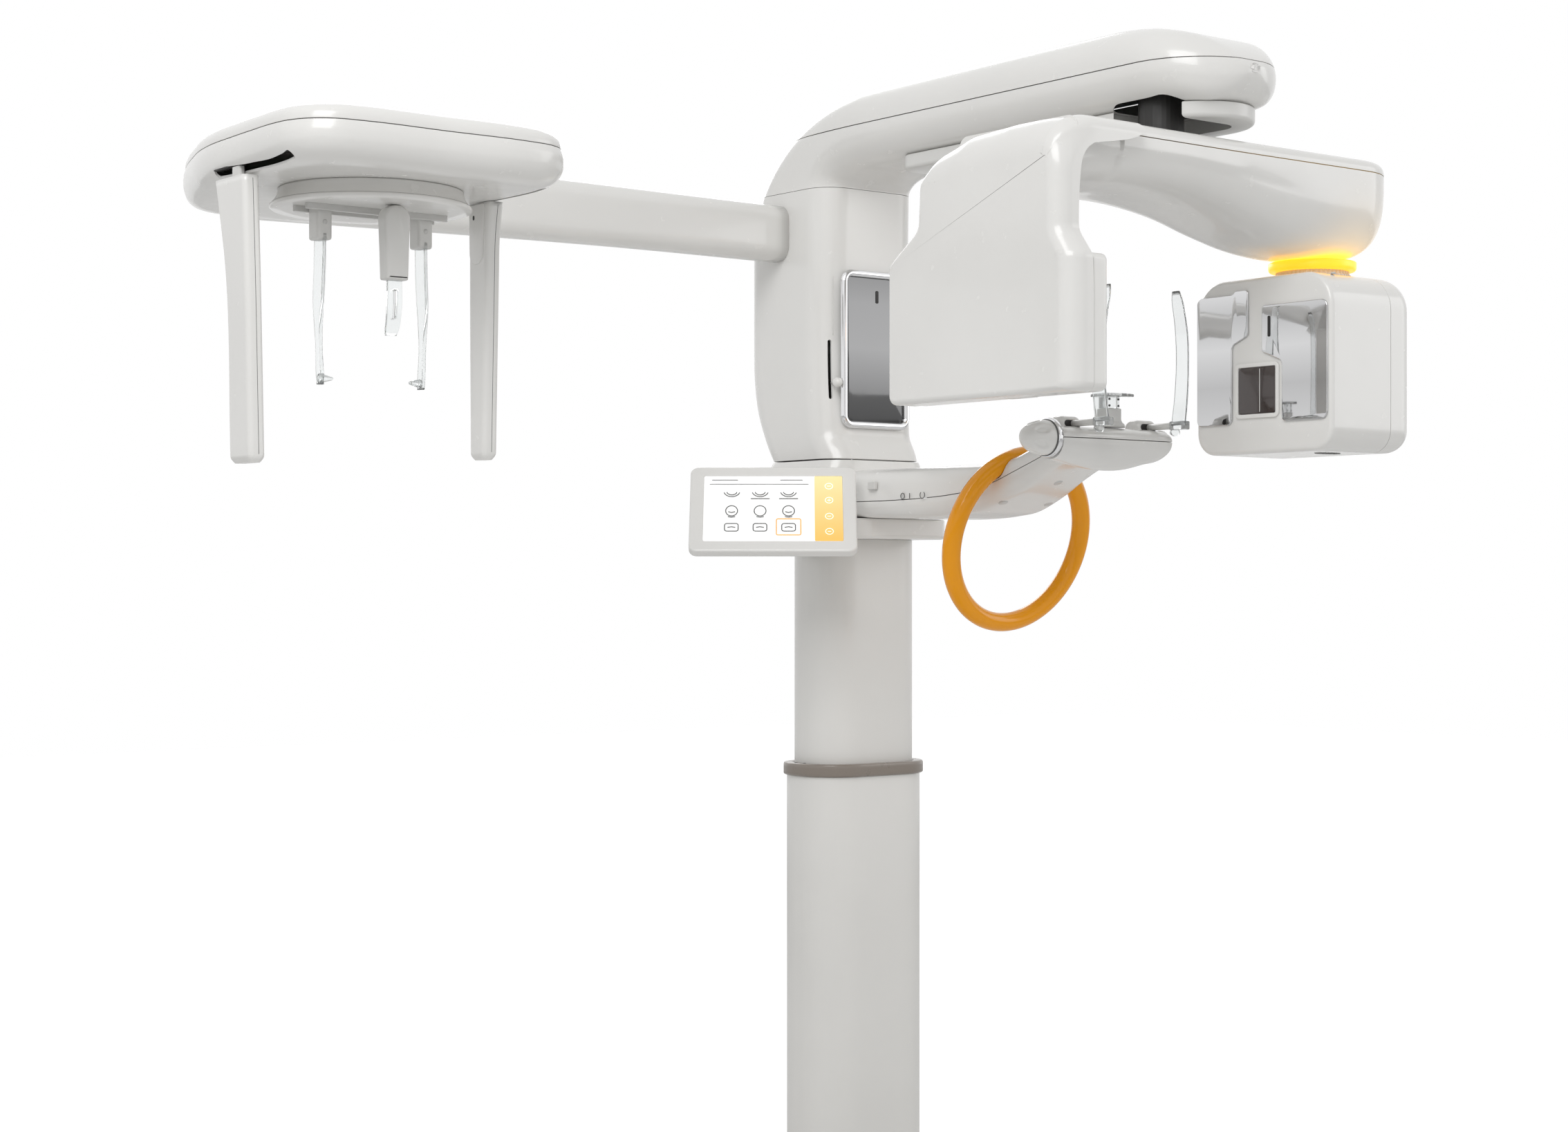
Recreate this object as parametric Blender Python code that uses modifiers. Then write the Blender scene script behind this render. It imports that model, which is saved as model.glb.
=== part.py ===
"""Panoramic X-ray machine with a cephalometric arm, modelled as an assembly. Metres, +Z up.

The origin is on the floor under the lifting column. The patient stands on the -Y side, the
cephalometric arm reaches to -X, and the gantry beam lies along X with its tube head at +X.
"""
import math

import bmesh
import bpy
from mathutils import Matrix, Vector

GAP = 0.0003
WALL = 0.003

# Floor stand and telescopic column
BASE_X = (-0.62, 0.40)
BASE_Y = (-0.78, 0.26)
BASE_THICK = 0.012
BASE_CORNER = 0.06
COLUMN_HALF = (0.125, 0.080)
COLUMN_CORNER = 0.070
COLUMN_WALL = 0.004
COLUMN_TOP = 0.8665
RING_TOP = 0.889
RING_LIP = 0.006
INNER_HALF = (0.112, 0.068)
INNER_CORNER = 0.060
INNER_BOTTOM = 0.42
COVER_TOP = 0.055
ACTUATOR_TOP = 0.80
ACTUATOR_RADIUS = 0.026
ROD_RADIUS = 0.018

# Lift carriage
COLLAR_Z = (1.283, 1.318)
BLOCK_TOP = 1.421
CARRIAGE_TOP = 1.900
CARRIAGE_HALF_X = 0.110
CARRIAGE_FRONT = -0.055
MIRROR_HALF = 0.078
MIRROR_Z = (1.478, 1.757)
FRAME_WIDTH = 0.007

# Upper arm
ARM_HALF_X = 0.125
ARM_TOP = 2.055
ARM_UNDERSIDE = 1.930
ARM_SEAM = 1.990
NOSE_CENTRE_Y = -0.816
NOSE_RADIUS = 0.130
PLATE_Z = (1.905, ARM_UNDERSIDE - GAP)
PLATE_HALF_X = 0.092

# Gantry
AXIS = Vector((-0.05, -0.80, 1.90))
SHAFT_RADIUS = 0.035
STAGE_X_TRAVEL = (-0.010, 0.060)
STAGE_Y_TRAVEL = (-0.030, 0.030)
BEAM_TOP = 1.876
BEAM_SEAM = 1.856
BEAM_HALF_Y = 0.115
NECK = Vector((0.30, -0.80, 1.722))
NECK_RADIUS = 0.070
DETECTOR_X = (-0.400, -0.325)
DETECTOR_SEAM = -0.356
DETECTOR_Y = (-0.963, -0.565)
DETECTOR_BOTTOM = 1.474

# Tube head
TUBE_X = (0.185, 0.385)
TUBE_SEAM = 0.327
TUBE_Y = (-0.937, -0.655)
TUBE_Z = (1.412, 1.692)
TUBE_CORNER = 0.036

# Lower arm, handle and chin support
HANDLE_CENTRE = Vector((0.0, -0.426, 1.278))
HANDLE_RADIUS = 0.1425
HANDLE_TUBE = 0.0155
HANDLE_TILT = math.radians(15)
CHIN = Vector((0.0, -0.640, 1.432))
CHIN_RADIUS = 0.036
CHIN_DEPTH = (0.026, 0.048)
CHIN_X = (-0.130, 0.119)
ROD_X = 0.085

# Screen
SCREEN = Vector((-0.275, -0.120, 1.332))
SCREEN_SIZE = (0.282, 0.190, 0.018)
SCREEN_TURN = math.radians(-38)
SCREEN_TILT = math.radians(40)
HINGE_BACK = 0.030

# Cephalometric unit
CEPH = Vector((-1.155, -0.330, 1.757))
CEPH_HALF = 0.219
CEPH_BACK = 0.373
CEPH_SEAM = 1.812
CEPH_TOP = 1.842
HUB_RADIUS = 0.1415
HUB_BOTTOM = 1.730
CEPH_ARM_Y = 0.080
SENSOR_X = -1.359
COLLIMATOR_X = -0.968
PANEL_HALF_X = 0.0125
SENSOR_EDGES = ((1.367, -0.0585, 0.0045), (1.660, -0.0457, 0.0256), (1.700, -0.0434, 0.0355),
                (CEPH.z - GAP, -0.040, 0.050))
COLLIMATOR_EDGES = ((1.384, -0.015, 0.025), (1.660, -0.0237, 0.0273), (1.700, -0.0251, 0.0273),
                    (CEPH.z - GAP, -0.0338, 0.0295))
EAR_SPREAD = 0.080

WHITE = (0.80, 0.79, 0.76)
MATERIALS = {
    "white_shell": (WHITE, 0.25, 0.0, 1.0),
    "grey_plastic": ((0.55, 0.54, 0.51), 0.40, 0.0, 1.0),
    "taupe_trim": ((0.26, 0.22, 0.18), 0.35, 0.0, 1.0),
    "steel": ((0.45, 0.46, 0.48), 0.40, 1.0, 1.0),
    "aluminium": ((0.70, 0.71, 0.73), 0.45, 1.0, 1.0),
    "chrome": ((0.85, 0.85, 0.86), 0.08, 1.0, 1.0),
    "mirror": ((0.75, 0.77, 0.78), 0.03, 1.0, 1.0),
    "amber_gloss": ((0.85, 0.36, 0.01), 0.15, 0.0, 1.0),
    "amber_light": ((1.00, 0.62, 0.10), 0.40, 0.0, 1.0),
    "clear_acrylic": ((0.92, 0.94, 0.94), 0.05, 0.0, 0.25),
    "dark_window": ((0.03, 0.02, 0.02), 0.20, 0.0, 1.0),
    "display_glass": ((0.90, 0.91, 0.90), 0.08, 0.0, 1.0),
    "red_plastic": ((0.60, 0.03, 0.02), 0.35, 0.0, 1.0),
}


# ---------------------------------------------------------------- helpers

def collection(name):
    """The named collection, made and linked on first use."""
    found = bpy.data.collections.get(name)
    if found is None:
        found = bpy.data.collections.new(name)
        bpy.context.scene.collection.children.link(found)
    return found


def material(name):
    """A Principled material from the table above."""
    found = bpy.data.materials.get(name)
    if found is None:
        colour, roughness, metallic, alpha = MATERIALS[name]
        found = bpy.data.materials.new(name)
        found.use_nodes = True
        shader = found.node_tree.nodes["Principled BSDF"]
        shader.inputs["Base Color"].default_value = (*colour, 1.0)
        shader.inputs["Roughness"].default_value = roughness
        shader.inputs["Metallic"].default_value = metallic
        shader.inputs["Alpha"].default_value = alpha
    return found


def body(name, place, parent=None):
    """An empty on a joint's axis, which carries the pieces that move together."""
    empty = bpy.data.objects.new(name, None)
    empty["world"] = tuple(place)
    offset = Vector(parent["world"]) if parent else Vector()
    empty.location = Vector(place) - offset
    empty.parent = parent
    collection("panoramic_xray_machine").objects.link(empty)
    return empty


def part(name, mesh, carrier, finish):
    """A node from a mesh in world coordinates, with its origin moved to its carrier's."""
    mesh.transform(Matrix.Translation(-Vector(carrier["world"])))
    obj = bpy.data.objects.new(name, mesh)
    obj.parent = carrier
    mesh.materials.append(material(finish))
    mesh.shade_smooth()
    mesh.set_sharp_from_angle(angle=math.radians(35))
    collection("panoramic_xray_machine").objects.link(obj)
    return obj


def cutter(name, mesh):
    """A hidden tool body in world coordinates."""
    obj = bpy.data.objects.new(name, mesh)
    obj.hide_render = True
    obj.display_type = "WIRE"
    collection("cutters").objects.link(obj)
    return obj


def combine(obj, tool, operation="DIFFERENCE"):
    """Cut or join one object with another, exactly."""
    modifier = obj.modifiers.new(tool.name, "BOOLEAN")
    modifier.operation = operation
    modifier.solver = "EXACT"
    modifier.object = tool
    return obj


def to_mesh(bm, name="shape"):
    mesh = bpy.data.meshes.new(name)
    bm.to_mesh(mesh)
    bm.free()
    return mesh


def box(low, high, bevel=0.0, segments=2):
    """A block between two corners, with rounded edges where bevel is given."""
    bm = bmesh.new()
    low, high = Vector(low), Vector(high)
    centre = (low + high) / 2
    size = Matrix.Diagonal((high - low)).to_4x4()
    bmesh.ops.create_cube(bm, size=1.0, matrix=Matrix.Translation(centre) @ size)
    if bevel:
        bmesh.ops.bevel(bm, geom=bm.edges[:], offset=bevel, segments=segments,
                        profile=0.5, affect="EDGES")
    return to_mesh(bm)


def rod(start, end, radius, sides=24, top=None):
    """A round bar, or a cone where top gives another radius at its end."""
    start, end = Vector(start), Vector(end)
    bm = bmesh.new()
    turn = (end - start).to_track_quat("Z", "Y").to_matrix().to_4x4()
    bmesh.ops.create_cone(bm, cap_ends=True, segments=sides, radius1=radius,
                          radius2=radius if top is None else top,
                          depth=(end - start).length,
                          matrix=Matrix.Translation((start + end) / 2) @ turn)
    return to_mesh(bm)


def rounded(half_u, half_v, radius, steps=5):
    """A rounded rectangle's points around its centre, counter-clockwise."""
    radius = min(radius, half_u, half_v)
    points = []
    for quarter in range(4):
        side_u = 1 if quarter in (0, 3) else -1
        side_v = 1 if quarter in (0, 1) else -1
        for step in range(steps + 1):
            angle = math.radians(90) * (quarter + step / steps)
            points.append((side_u * (half_u - radius) + radius * math.cos(angle),
                           side_v * (half_v - radius) + radius * math.sin(angle)))
    return points


def loft(loops, cap_start=False, cap_end=False, closed=True):
    """A skin through loops of equal length, its faces turned away from their middles."""
    bm = bmesh.new()
    rows = [[bm.verts.new(point) for point in loop] for loop in loops]
    count = len(rows[0])
    spans = count if closed else count - 1
    for row, following in zip(rows, rows[1:]):
        middle = sum((vert.co for vert in row + following), Vector()) / (2 * count)
        for i in range(spans):
            j = (i + 1) % count
            face = bm.faces.new((row[i], row[j], following[j], following[i]))
            face.normal_update()
            if face.normal.dot(face.calc_center_median() - middle) < 0:
                face.normal_flip()
    ends = [(rows[0], rows[1])] * cap_start + [(rows[-1], rows[-2])] * cap_end
    for row, neighbour in ends:
        face = bm.faces.new(row)
        face.normal_update()
        if face.normal.dot(row[0].co - neighbour[0].co) < 0:
            face.normal_flip()
    return bm


def solid(loops):
    """A closed solid through the loops."""
    return to_mesh(loft(loops, cap_start=True, cap_end=True))


def shell(name, bm, carrier, finish, wall=WALL):
    """An open skin given a wall on its inner side."""
    obj = part(name, to_mesh(bm), carrier, finish)
    modifier = obj.modifiers.new("wall", "SOLIDIFY")
    modifier.thickness = wall
    modifier.offset = -1
    modifier.use_even_offset = True
    modifier.thickness_clamp = 0
    return obj


def keep_side(bm, place, normal):
    """Cut a skin by a plane and keep the side that the normal points to."""
    geometry = bm.verts[:] + bm.edges[:] + bm.faces[:]
    bmesh.ops.bisect_plane(bm, geom=geometry, plane_co=place, plane_no=normal,
                           clear_inner=True, dist=1e-7)
    return bm


def flat(points, axis, low, high):
    """A flat outline made solid between low and high along an axis (0, 1 or 2)."""
    curve = bpy.data.curves.new("outline", "CURVE")
    curve.dimensions = "2D"
    curve.fill_mode = "BOTH"
    curve.extrude = (high - low) / 2
    spline = curve.splines.new("POLY")
    spline.points.add(len(points) - 1)
    for point, place in zip(spline.points, points):
        point.co = (place[0], place[1], 0, 1)
    spline.use_cyclic_u = True
    obj = bpy.data.objects.new("outline", curve)
    bpy.context.scene.collection.objects.link(obj)
    bpy.context.view_layer.update()
    evaluated = obj.evaluated_get(bpy.context.evaluated_depsgraph_get())
    bm = bmesh.new()
    bm.from_mesh(bpy.data.meshes.new_from_object(evaluated))
    bpy.data.objects.remove(obj)
    bmesh.ops.remove_doubles(bm, verts=bm.verts[:], dist=1e-6)
    bmesh.ops.translate(bm, verts=bm.verts[:], vec=(0, 0, (low + high) / 2))
    order = {0: ((0, 0, 1), (1, 0, 0), (0, 1, 0)),
             1: ((1, 0, 0), (0, 0, 1), (0, 1, 0)),
             2: ((1, 0, 0), (0, 1, 0), (0, 0, 1))}[axis]
    bmesh.ops.transform(bm, matrix=Matrix(order).to_4x4(), verts=bm.verts[:])
    bmesh.ops.recalc_face_normals(bm, faces=bm.faces[:])
    return to_mesh(bm)


def shifted(points, du, dv):
    return [(u + du, v + dv) for u, v in points]


def level(points, z):
    """Outline points laid in a horizontal plane."""
    return [Vector((x, y, z)) for x, y in points]


def upright(points, x):
    """Outline points given as (y, z), stood in a plane across X."""
    return [Vector((x, y, z)) for y, z in points]


def turned(name, profile, centre, carrier, finish, steps=32):
    """A profile of (radius, height), from its top down its outer side, spun about Z."""
    bm = bmesh.new()
    place = Vector(centre)
    verts = [bm.verts.new(Vector((radius, 0, height))) for radius, height in profile]
    for one, two in zip(verts, verts[1:]):
        bm.edges.new((one, two))
    if profile[0][0] > 0:
        bm.edges.new((verts[-1], verts[0]))
    mesh = to_mesh(bm)
    obj = bpy.data.objects.new(name, mesh)
    obj.parent = carrier
    obj.location = place - Vector(carrier["world"])
    mesh.materials.append(material(finish))
    collection("panoramic_xray_machine").objects.link(obj)
    screw = obj.modifiers.new("turn", "SCREW")
    screw.axis = "Z"
    screw.steps = steps
    screw.render_steps = steps
    screw.use_merge_vertices = True
    screw.merge_threshold = 0.00001
    screw.use_smooth_shade = True
    return obj


def between(table, value):
    """A smooth reading between (position, value) pairs, given in rising order."""
    if value <= table[0][0]:
        return table[0][1]
    for (a, low), (b, high) in zip(table, table[1:]):
        if value <= b:
            t = (value - a) / (b - a)
            return low + (high - low) * t * t * (3 - 2 * t)
    return table[-1][1]


# ---------------------------------------------------------------- floor stand and column

def make_stand(root):
    centre_x, centre_y = sum(BASE_X) / 2, sum(BASE_Y) / 2
    outline = rounded((BASE_X[1] - BASE_X[0]) / 2, (BASE_Y[1] - BASE_Y[0]) / 2, BASE_CORNER)
    plate = flat(shifted(outline, centre_x, centre_y), 2, 0.0, BASE_THICK)
    part("base_plate", plate, root, "grey_plastic")

    foot = BASE_THICK + GAP
    half_x, half_y = COLUMN_HALF
    skirt = [level(rounded(half_x + grow, half_y + grow, COLUMN_CORNER + grow), z)
             for grow, z in ((0.030, foot), (0.028, 0.030), (0.018, 0.048), (0.012, COVER_TOP))]
    cover = part("base_cover", solid(skirt), root, "white_shell")
    hole = flat(rounded(half_x + GAP, half_y + GAP, COLUMN_CORNER + GAP, 7), 2, -0.01, 0.10)
    combine(cover, cutter("base_cover_hole", hole))

    outer = rounded(half_x, half_y, COLUMN_CORNER, 7)
    skin = loft([level(outer, foot), level(outer, COLUMN_TOP)])
    shell("column_outer", skin, root, "white_shell", COLUMN_WALL)

    lip = rounded(half_x + RING_LIP, half_y + RING_LIP, COLUMN_CORNER + RING_LIP, 7)
    ring = part("column_ring", flat(lip, 2, COLUMN_TOP + GAP, RING_TOP), root, "taupe_trim")
    inner = rounded(INNER_HALF[0] + 3 * GAP, INNER_HALF[1] + 3 * GAP, INNER_CORNER, 7)
    combine(ring, cutter("column_ring_hole", flat(inner, 2, 0.80, 0.95)))

    tube = part("lift_actuator", rod((0, 0, foot), (0, 0, ACTUATOR_TOP), ACTUATOR_RADIUS),
                root, "aluminium")
    bore = rod((0, 0, 0.030), (0, 0, ACTUATOR_TOP + 0.1), ROD_RADIUS + 2 * GAP)
    combine(tube, cutter("actuator_bore", bore))


# ---------------------------------------------------------------- carriage

CARRIAGE_BACK = ((1.421, 0.128), (1.500, 0.165), (1.600, 0.182), (1.800, 0.182))
CARRIAGE_SWEEP = ((1.421, -0.082), (1.450, -0.066), (1.476, CARRIAGE_FRONT))
CARRIAGE_STATIONS = (BLOCK_TOP + 7 * GAP, 1.436, 1.450, 1.463, 1.476, 1.560, 1.640, 1.720,
                     1.800, 1.835, 1.870, CARRIAGE_TOP - GAP)
ARM_BEND = Vector((0.0, -0.160, 1.800))
ARM_BEND_RADII = (0.342, 0.255)
BACK_PANEL = (3, 10)
LOOP_STEPS = 6
SEAM_SHARE = 0.08


def carriage_loop(z):
    """The carriage's section at a height: its back leans over into the upper arm."""
    back = between(CARRIAGE_BACK, z)
    if z > ARM_BEND.z:
        rise = (z - ARM_BEND.z) / ARM_BEND_RADII[1]
        back = ARM_BEND.y + ARM_BEND_RADII[0] * math.sqrt(1 - rise * rise)
    front = between(CARRIAGE_SWEEP, z)
    outline = rounded(CARRIAGE_HALF_X, (back - front) / 2, 0.045, LOOP_STEPS)
    return level(shifted(outline, 0.0, (back + front) / 2), z)


def make_carriage(lift):
    inner = rounded(*INNER_HALF, INNER_CORNER, 7)
    skin = loft([level(inner, INNER_BOTTOM), level(inner, COLLAR_Z[0] - GAP)])
    shell("column_inner", skin, lift, "white_shell", COLUMN_WALL)
    part("actuator_rod", rod((0, 0, 0.38), (0, 0, COLLAR_Z[0] - GAP), ROD_RADIUS), lift, "steel")

    collar = flat(shifted(rounded(0.118, 0.120, 0.045), 0.0, -0.020), 2, *COLLAR_Z)
    part("column_collar", collar, lift, "white_shell")

    block = [level(shifted(rounded(half, 0.105 + lean, 0.050), 0.0, 0.023 + lean / 2), z)
             for half, lean, z in ((0.112, -0.004, COLLAR_Z[1] + GAP), (0.118, 0.0, 1.330),
                                   (0.118, 0.0, 1.390), (0.110, 0.0, BLOCK_TOP))]
    part("carriage_block", solid(block), lift, "white_shell")

    loops = [carriage_loop(z) for z in CARRIAGE_STATIONS]
    # The rear cover spans the two back corners; the front cover takes the rest of the loop.
    first, last = BACK_PANEL
    back = [loop[first:last + 1] for loop in loops]
    front = [[loop[last].lerp(loop[last + 1], SEAM_SHARE)] + loop[last + 1:] + loop[:first]
             + [loop[first].lerp(loop[first - 1], SEAM_SHARE)] for loop in loops]
    shell("carriage_rear_cover", loft(back, closed=False), lift, "white_shell")
    cover = shell("carriage_front_cover", loft(front, closed=False), lift, "white_shell")
    slot = box((-0.0903, -0.10, 1.529), (-0.0843, -0.02, 1.633))
    combine(cover, cutter("laser_slot", slot))

    outer = rounded(MIRROR_HALF, (MIRROR_Z[1] - MIRROR_Z[0]) / 2, 0.014)
    inner = rounded(MIRROR_HALF - FRAME_WIDTH, (MIRROR_Z[1] - MIRROR_Z[0]) / 2 - FRAME_WIDTH, 0.009)
    middle = sum(MIRROR_Z) / 2
    face = CARRIAGE_FRONT - 2 * GAP
    frame = part("mirror_frame", flat(shifted(outer, 0, middle), 1, face - 0.008, face),
                 lift, "chrome")
    opening = flat(shifted(inner, 0, middle), 1, face - 0.02, face + 0.01)
    combine(frame, cutter("mirror_opening", opening))
    fitted = rounded(MIRROR_HALF - FRAME_WIDTH - GAP,
                     (MIRROR_Z[1] - MIRROR_Z[0]) / 2 - FRAME_WIDTH - GAP, 0.009)
    part("mirror_glass", flat(shifted(fitted, 0, middle), 1, face - 0.004, face), lift, "mirror")


def make_laser_knob(lift):
    centre = Vector((-0.0873, CARRIAGE_FRONT, 1.557))
    slider = body("laser_knob_slider", centre, lift)
    stem = rod(centre + Vector((0, 0.010, 0)), centre - Vector((0, 0.004, 0)), 0.0022, 12)
    knob = part("laser_knob", stem, slider, "white_shell")
    dome = rod(centre - Vector((0, 0.0010, 0)), centre - Vector((0, 0.018, 0)), 0.0085, 20, 0.004)
    combine(knob, cutter("laser_knob_dome", dome), "UNION")


# ---------------------------------------------------------------- upper arm

def arm_station(y):
    """The arm's half width, underside and top where it runs forward."""
    half, top, underside = ARM_HALF_X, ARM_TOP, ARM_UNDERSIDE
    past = (NOSE_CENTRE_Y - y) / NOSE_RADIUS
    if past > 0:
        half = max(ARM_HALF_X * math.sqrt(max(1 - past * past, 0.0)), 0.018)
        underside += 0.012 * past * past
    droop = (-0.750 - y) / 0.200
    if droop > 0:
        top -= 0.095 * droop ** 2.6
    return half, underside, top


def arm_loops():
    """Sections that turn from level, on the carriage, to upright, along the arm."""
    loops = []
    start = math.asin((CARRIAGE_TOP + GAP - ARM_BEND.z) / ARM_BEND_RADII[1])
    for step in range(9):
        share = step / 8
        angle = start + (math.radians(90) - start) * share
        outer = Vector((0, ARM_BEND.y + ARM_BEND_RADII[0] * math.cos(angle),
                        ARM_BEND.z + ARM_BEND_RADII[1] * math.sin(angle)))
        turn = math.radians(90) * share
        corner = Vector((0, CARRIAGE_FRONT - 0.0297, CARRIAGE_TOP + GAP))
        inner = corner + Vector((0, 0.0297 * math.cos(turn) - 0.075 * share * share,
                                 0.0297 * math.sin(turn)))
        loops.append(section(inner, outer, CARRIAGE_HALF_X + (ARM_HALF_X - CARRIAGE_HALF_X) * share))
    nose = [NOSE_CENTRE_Y - NOSE_RADIUS * math.sin(math.radians(a)) for a in (0, 22, 42, 58, 72, 84)]
    for y in [-0.35, -0.55, -0.70] + nose:
        half, underside, top = arm_station(y)
        loops.append(section(Vector((0, y, underside)), Vector((0, y, top)), half))
    return loops


def section(inner, outer, half):
    """A rounded section that stands between an inner and an outer point."""
    up = (outer - inner).normalized()
    middle, reach = (inner + outer) / 2, (outer - inner).length / 2
    radius = min(0.055, half * 0.9, reach * 0.9)
    return [middle + Vector((u, 0, 0)) + up * v for u, v in rounded(half, reach, radius, LOOP_STEPS)]


def shaft_opening(grow):
    """The outline that the gantry's shaft sweeps as its stages travel."""
    reach = SHAFT_RADIUS + grow
    half_x = (STAGE_X_TRAVEL[1] - STAGE_X_TRAVEL[0]) / 2 + reach
    half_y = (STAGE_Y_TRAVEL[1] - STAGE_Y_TRAVEL[0]) / 2 + reach
    return shifted(rounded(half_x, half_y, 0.030), AXIS.x + sum(STAGE_X_TRAVEL) / 2,
                   AXIS.y + sum(STAGE_Y_TRAVEL) / 2)


def make_upper_arm(lift):
    skin = keep_side(loft(arm_loops(), cap_end=True), (0, 0, ARM_SEAM + 4 * GAP), (0, 0, 1))
    shell("arm_top_cover", skin, lift, "white_shell")
    skin = keep_side(loft(arm_loops(), cap_end=True), (0, 0, ARM_SEAM - GAP), (0, 0, -1))
    lower = shell("arm_bottom_cover", skin, lift, "white_shell")
    opening = cutter("shaft_opening", flat(shaft_opening(0.006), 2, 1.88, 1.95))
    combine(lower, opening)

    back, front = -0.225, NOSE_CENTRE_Y
    edge = [(PLATE_HALF_X * math.cos(math.radians(a)), front - 0.100 * math.sin(math.radians(a)))
            for a in range(0, 181, 15)]
    outline = edge + [(-PLATE_HALF_X, back - 0.05), (-PLATE_HALF_X + 0.05, back),
                      (PLATE_HALF_X - 0.05, back), (PLATE_HALF_X, back - 0.05)]
    plate = part("arm_underplate", flat(outline, 2, *PLATE_Z), lift, "grey_plastic")
    combine(plate, opening)
    frame = box((-0.070, -0.880, 2.000), (0.070, 0.000, 2.012))
    part("arm_frame", frame, lift, "steel")


def make_stages(lift):
    """Two cross slides under the arm's frame carry the gantry's shaft."""
    stage_y = body("stage_y", AXIS, lift)
    part("cross_slide_y", box((-0.070, -0.850, 1.987), (0.070, -0.750, 1.9997)),
         stage_y, "aluminium")
    stage_x = body("stage_x", AXIS, stage_y)
    part("cross_slide_x", box((AXIS.x - 0.035, -0.840, 1.968), (AXIS.x + 0.035, -0.760, 1.9867)),
         stage_x, "steel")
    return stage_x


# ---------------------------------------------------------------- gantry

BEAM_WIDTH = ((-0.352, 0.137), (-0.280, 0.122), (-0.080, BEAM_HALF_Y))
BEAM_UNDER = ((-0.352, 1.742), (-0.300, 1.770), (-0.160, 1.780), (0.000, 1.764),
              (0.100, 1.737), (0.200, NECK.z), (0.300, NECK.z))


def beam_loops():
    """Upright sections along X, then a round end over the tube head's neck."""
    loops = []
    along = [-0.3555, -0.32, -0.28, -0.23, -0.17, -0.10, -0.03, 0.04, 0.11, 0.18, 0.24, NECK.x]
    for x in along:
        loops.append(beam_section(x, between(BEAM_WIDTH, x), between(BEAM_UNDER, x)))
    for angle in (20, 38, 54, 68, 80):
        turn = math.radians(angle)
        loops.append(beam_section(NECK.x + BEAM_HALF_Y * math.sin(turn),
                                  BEAM_HALF_Y * math.cos(turn),
                                  NECK.z + 0.085 * (1 - math.cos(turn)) ** 1.2))
    return loops


def beam_section(x, half, under):
    """A flat-topped section whose lower corners are swept round like a bowl."""
    top_radius = min(0.018, half * 0.6)
    side, depth = half, BEAM_TOP - under
    points = []
    for step in range(LOOP_STEPS + 1):
        angle = math.radians(90) * step / LOOP_STEPS
        points.append((side - top_radius * (1 - math.cos(angle)),
                       BEAM_TOP - top_radius * (1 - math.sin(angle))))
    points += [(-y, z) for y, z in reversed(points)]
    drop, bowl = depth - top_radius, 2 * LOOP_STEPS + 2
    for step in range(1, bowl):
        angle = math.radians(180) * (1 + step / bowl)
        points.append((side * signed_power(math.cos(angle), 0.75),
                       BEAM_TOP - top_radius + drop * signed_power(math.sin(angle), 0.62)))
    return [Vector((x, AXIS.y + y, z)) for y, z in points]


def signed_power(value, power):
    return math.copysign(abs(value) ** power, value)


def board_outline(grow=0.0):
    """The detector housing's face as (y, z): wide below, narrower where it meets the beam."""
    low, high = DETECTOR_Y[0] - grow, DETECTOR_Y[1] + grow
    bottom, top = DETECTOR_BOTTOM - grow, BEAM_TOP - 0.002 + grow
    corner = 0.014
    arc = [math.radians(a) for a in (0, 30, 60, 90)]
    points = [(high - corner * (1 - math.cos(a)), 1.675 + corner * math.sin(a)) for a in arc]
    points += [(-0.604 + grow, 1.708), (-0.624 + grow, 1.736), (-0.634 + grow, 1.775),
               (-0.655 + grow, 1.815), (-0.695, 1.850 + grow), (-0.755, 1.868 + grow),
               (-0.830, top)]
    points += [(-0.905 - grow - 0.025 * math.sin(a), top - 0.025 * (1 - math.cos(a))) for a in arc]
    points += [(-0.930 - grow, 1.720), (-0.937 - grow, 1.690), (-0.955 - grow, 1.672),
               (low, 1.655)]
    points += [(low + corner * (1 - math.cos(a)), bottom + corner * (1 - math.sin(a))) for a in arc]
    points += [(high - corner * (1 - math.sin(a)), bottom + corner * (1 - math.cos(a))) for a in arc]
    return points


def panel_outline(grow=0.0):
    """The detector box's lower part as (y, z)."""
    centre = (sum(DETECTOR_Y) / 2, (DETECTOR_BOTTOM + 1.700) / 2)
    half = ((DETECTOR_Y[1] - DETECTOR_Y[0]) / 2 + grow, (1.700 - DETECTOR_BOTTOM) / 2 + grow)
    return shifted(rounded(*half, 0.016), *centre)


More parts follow.
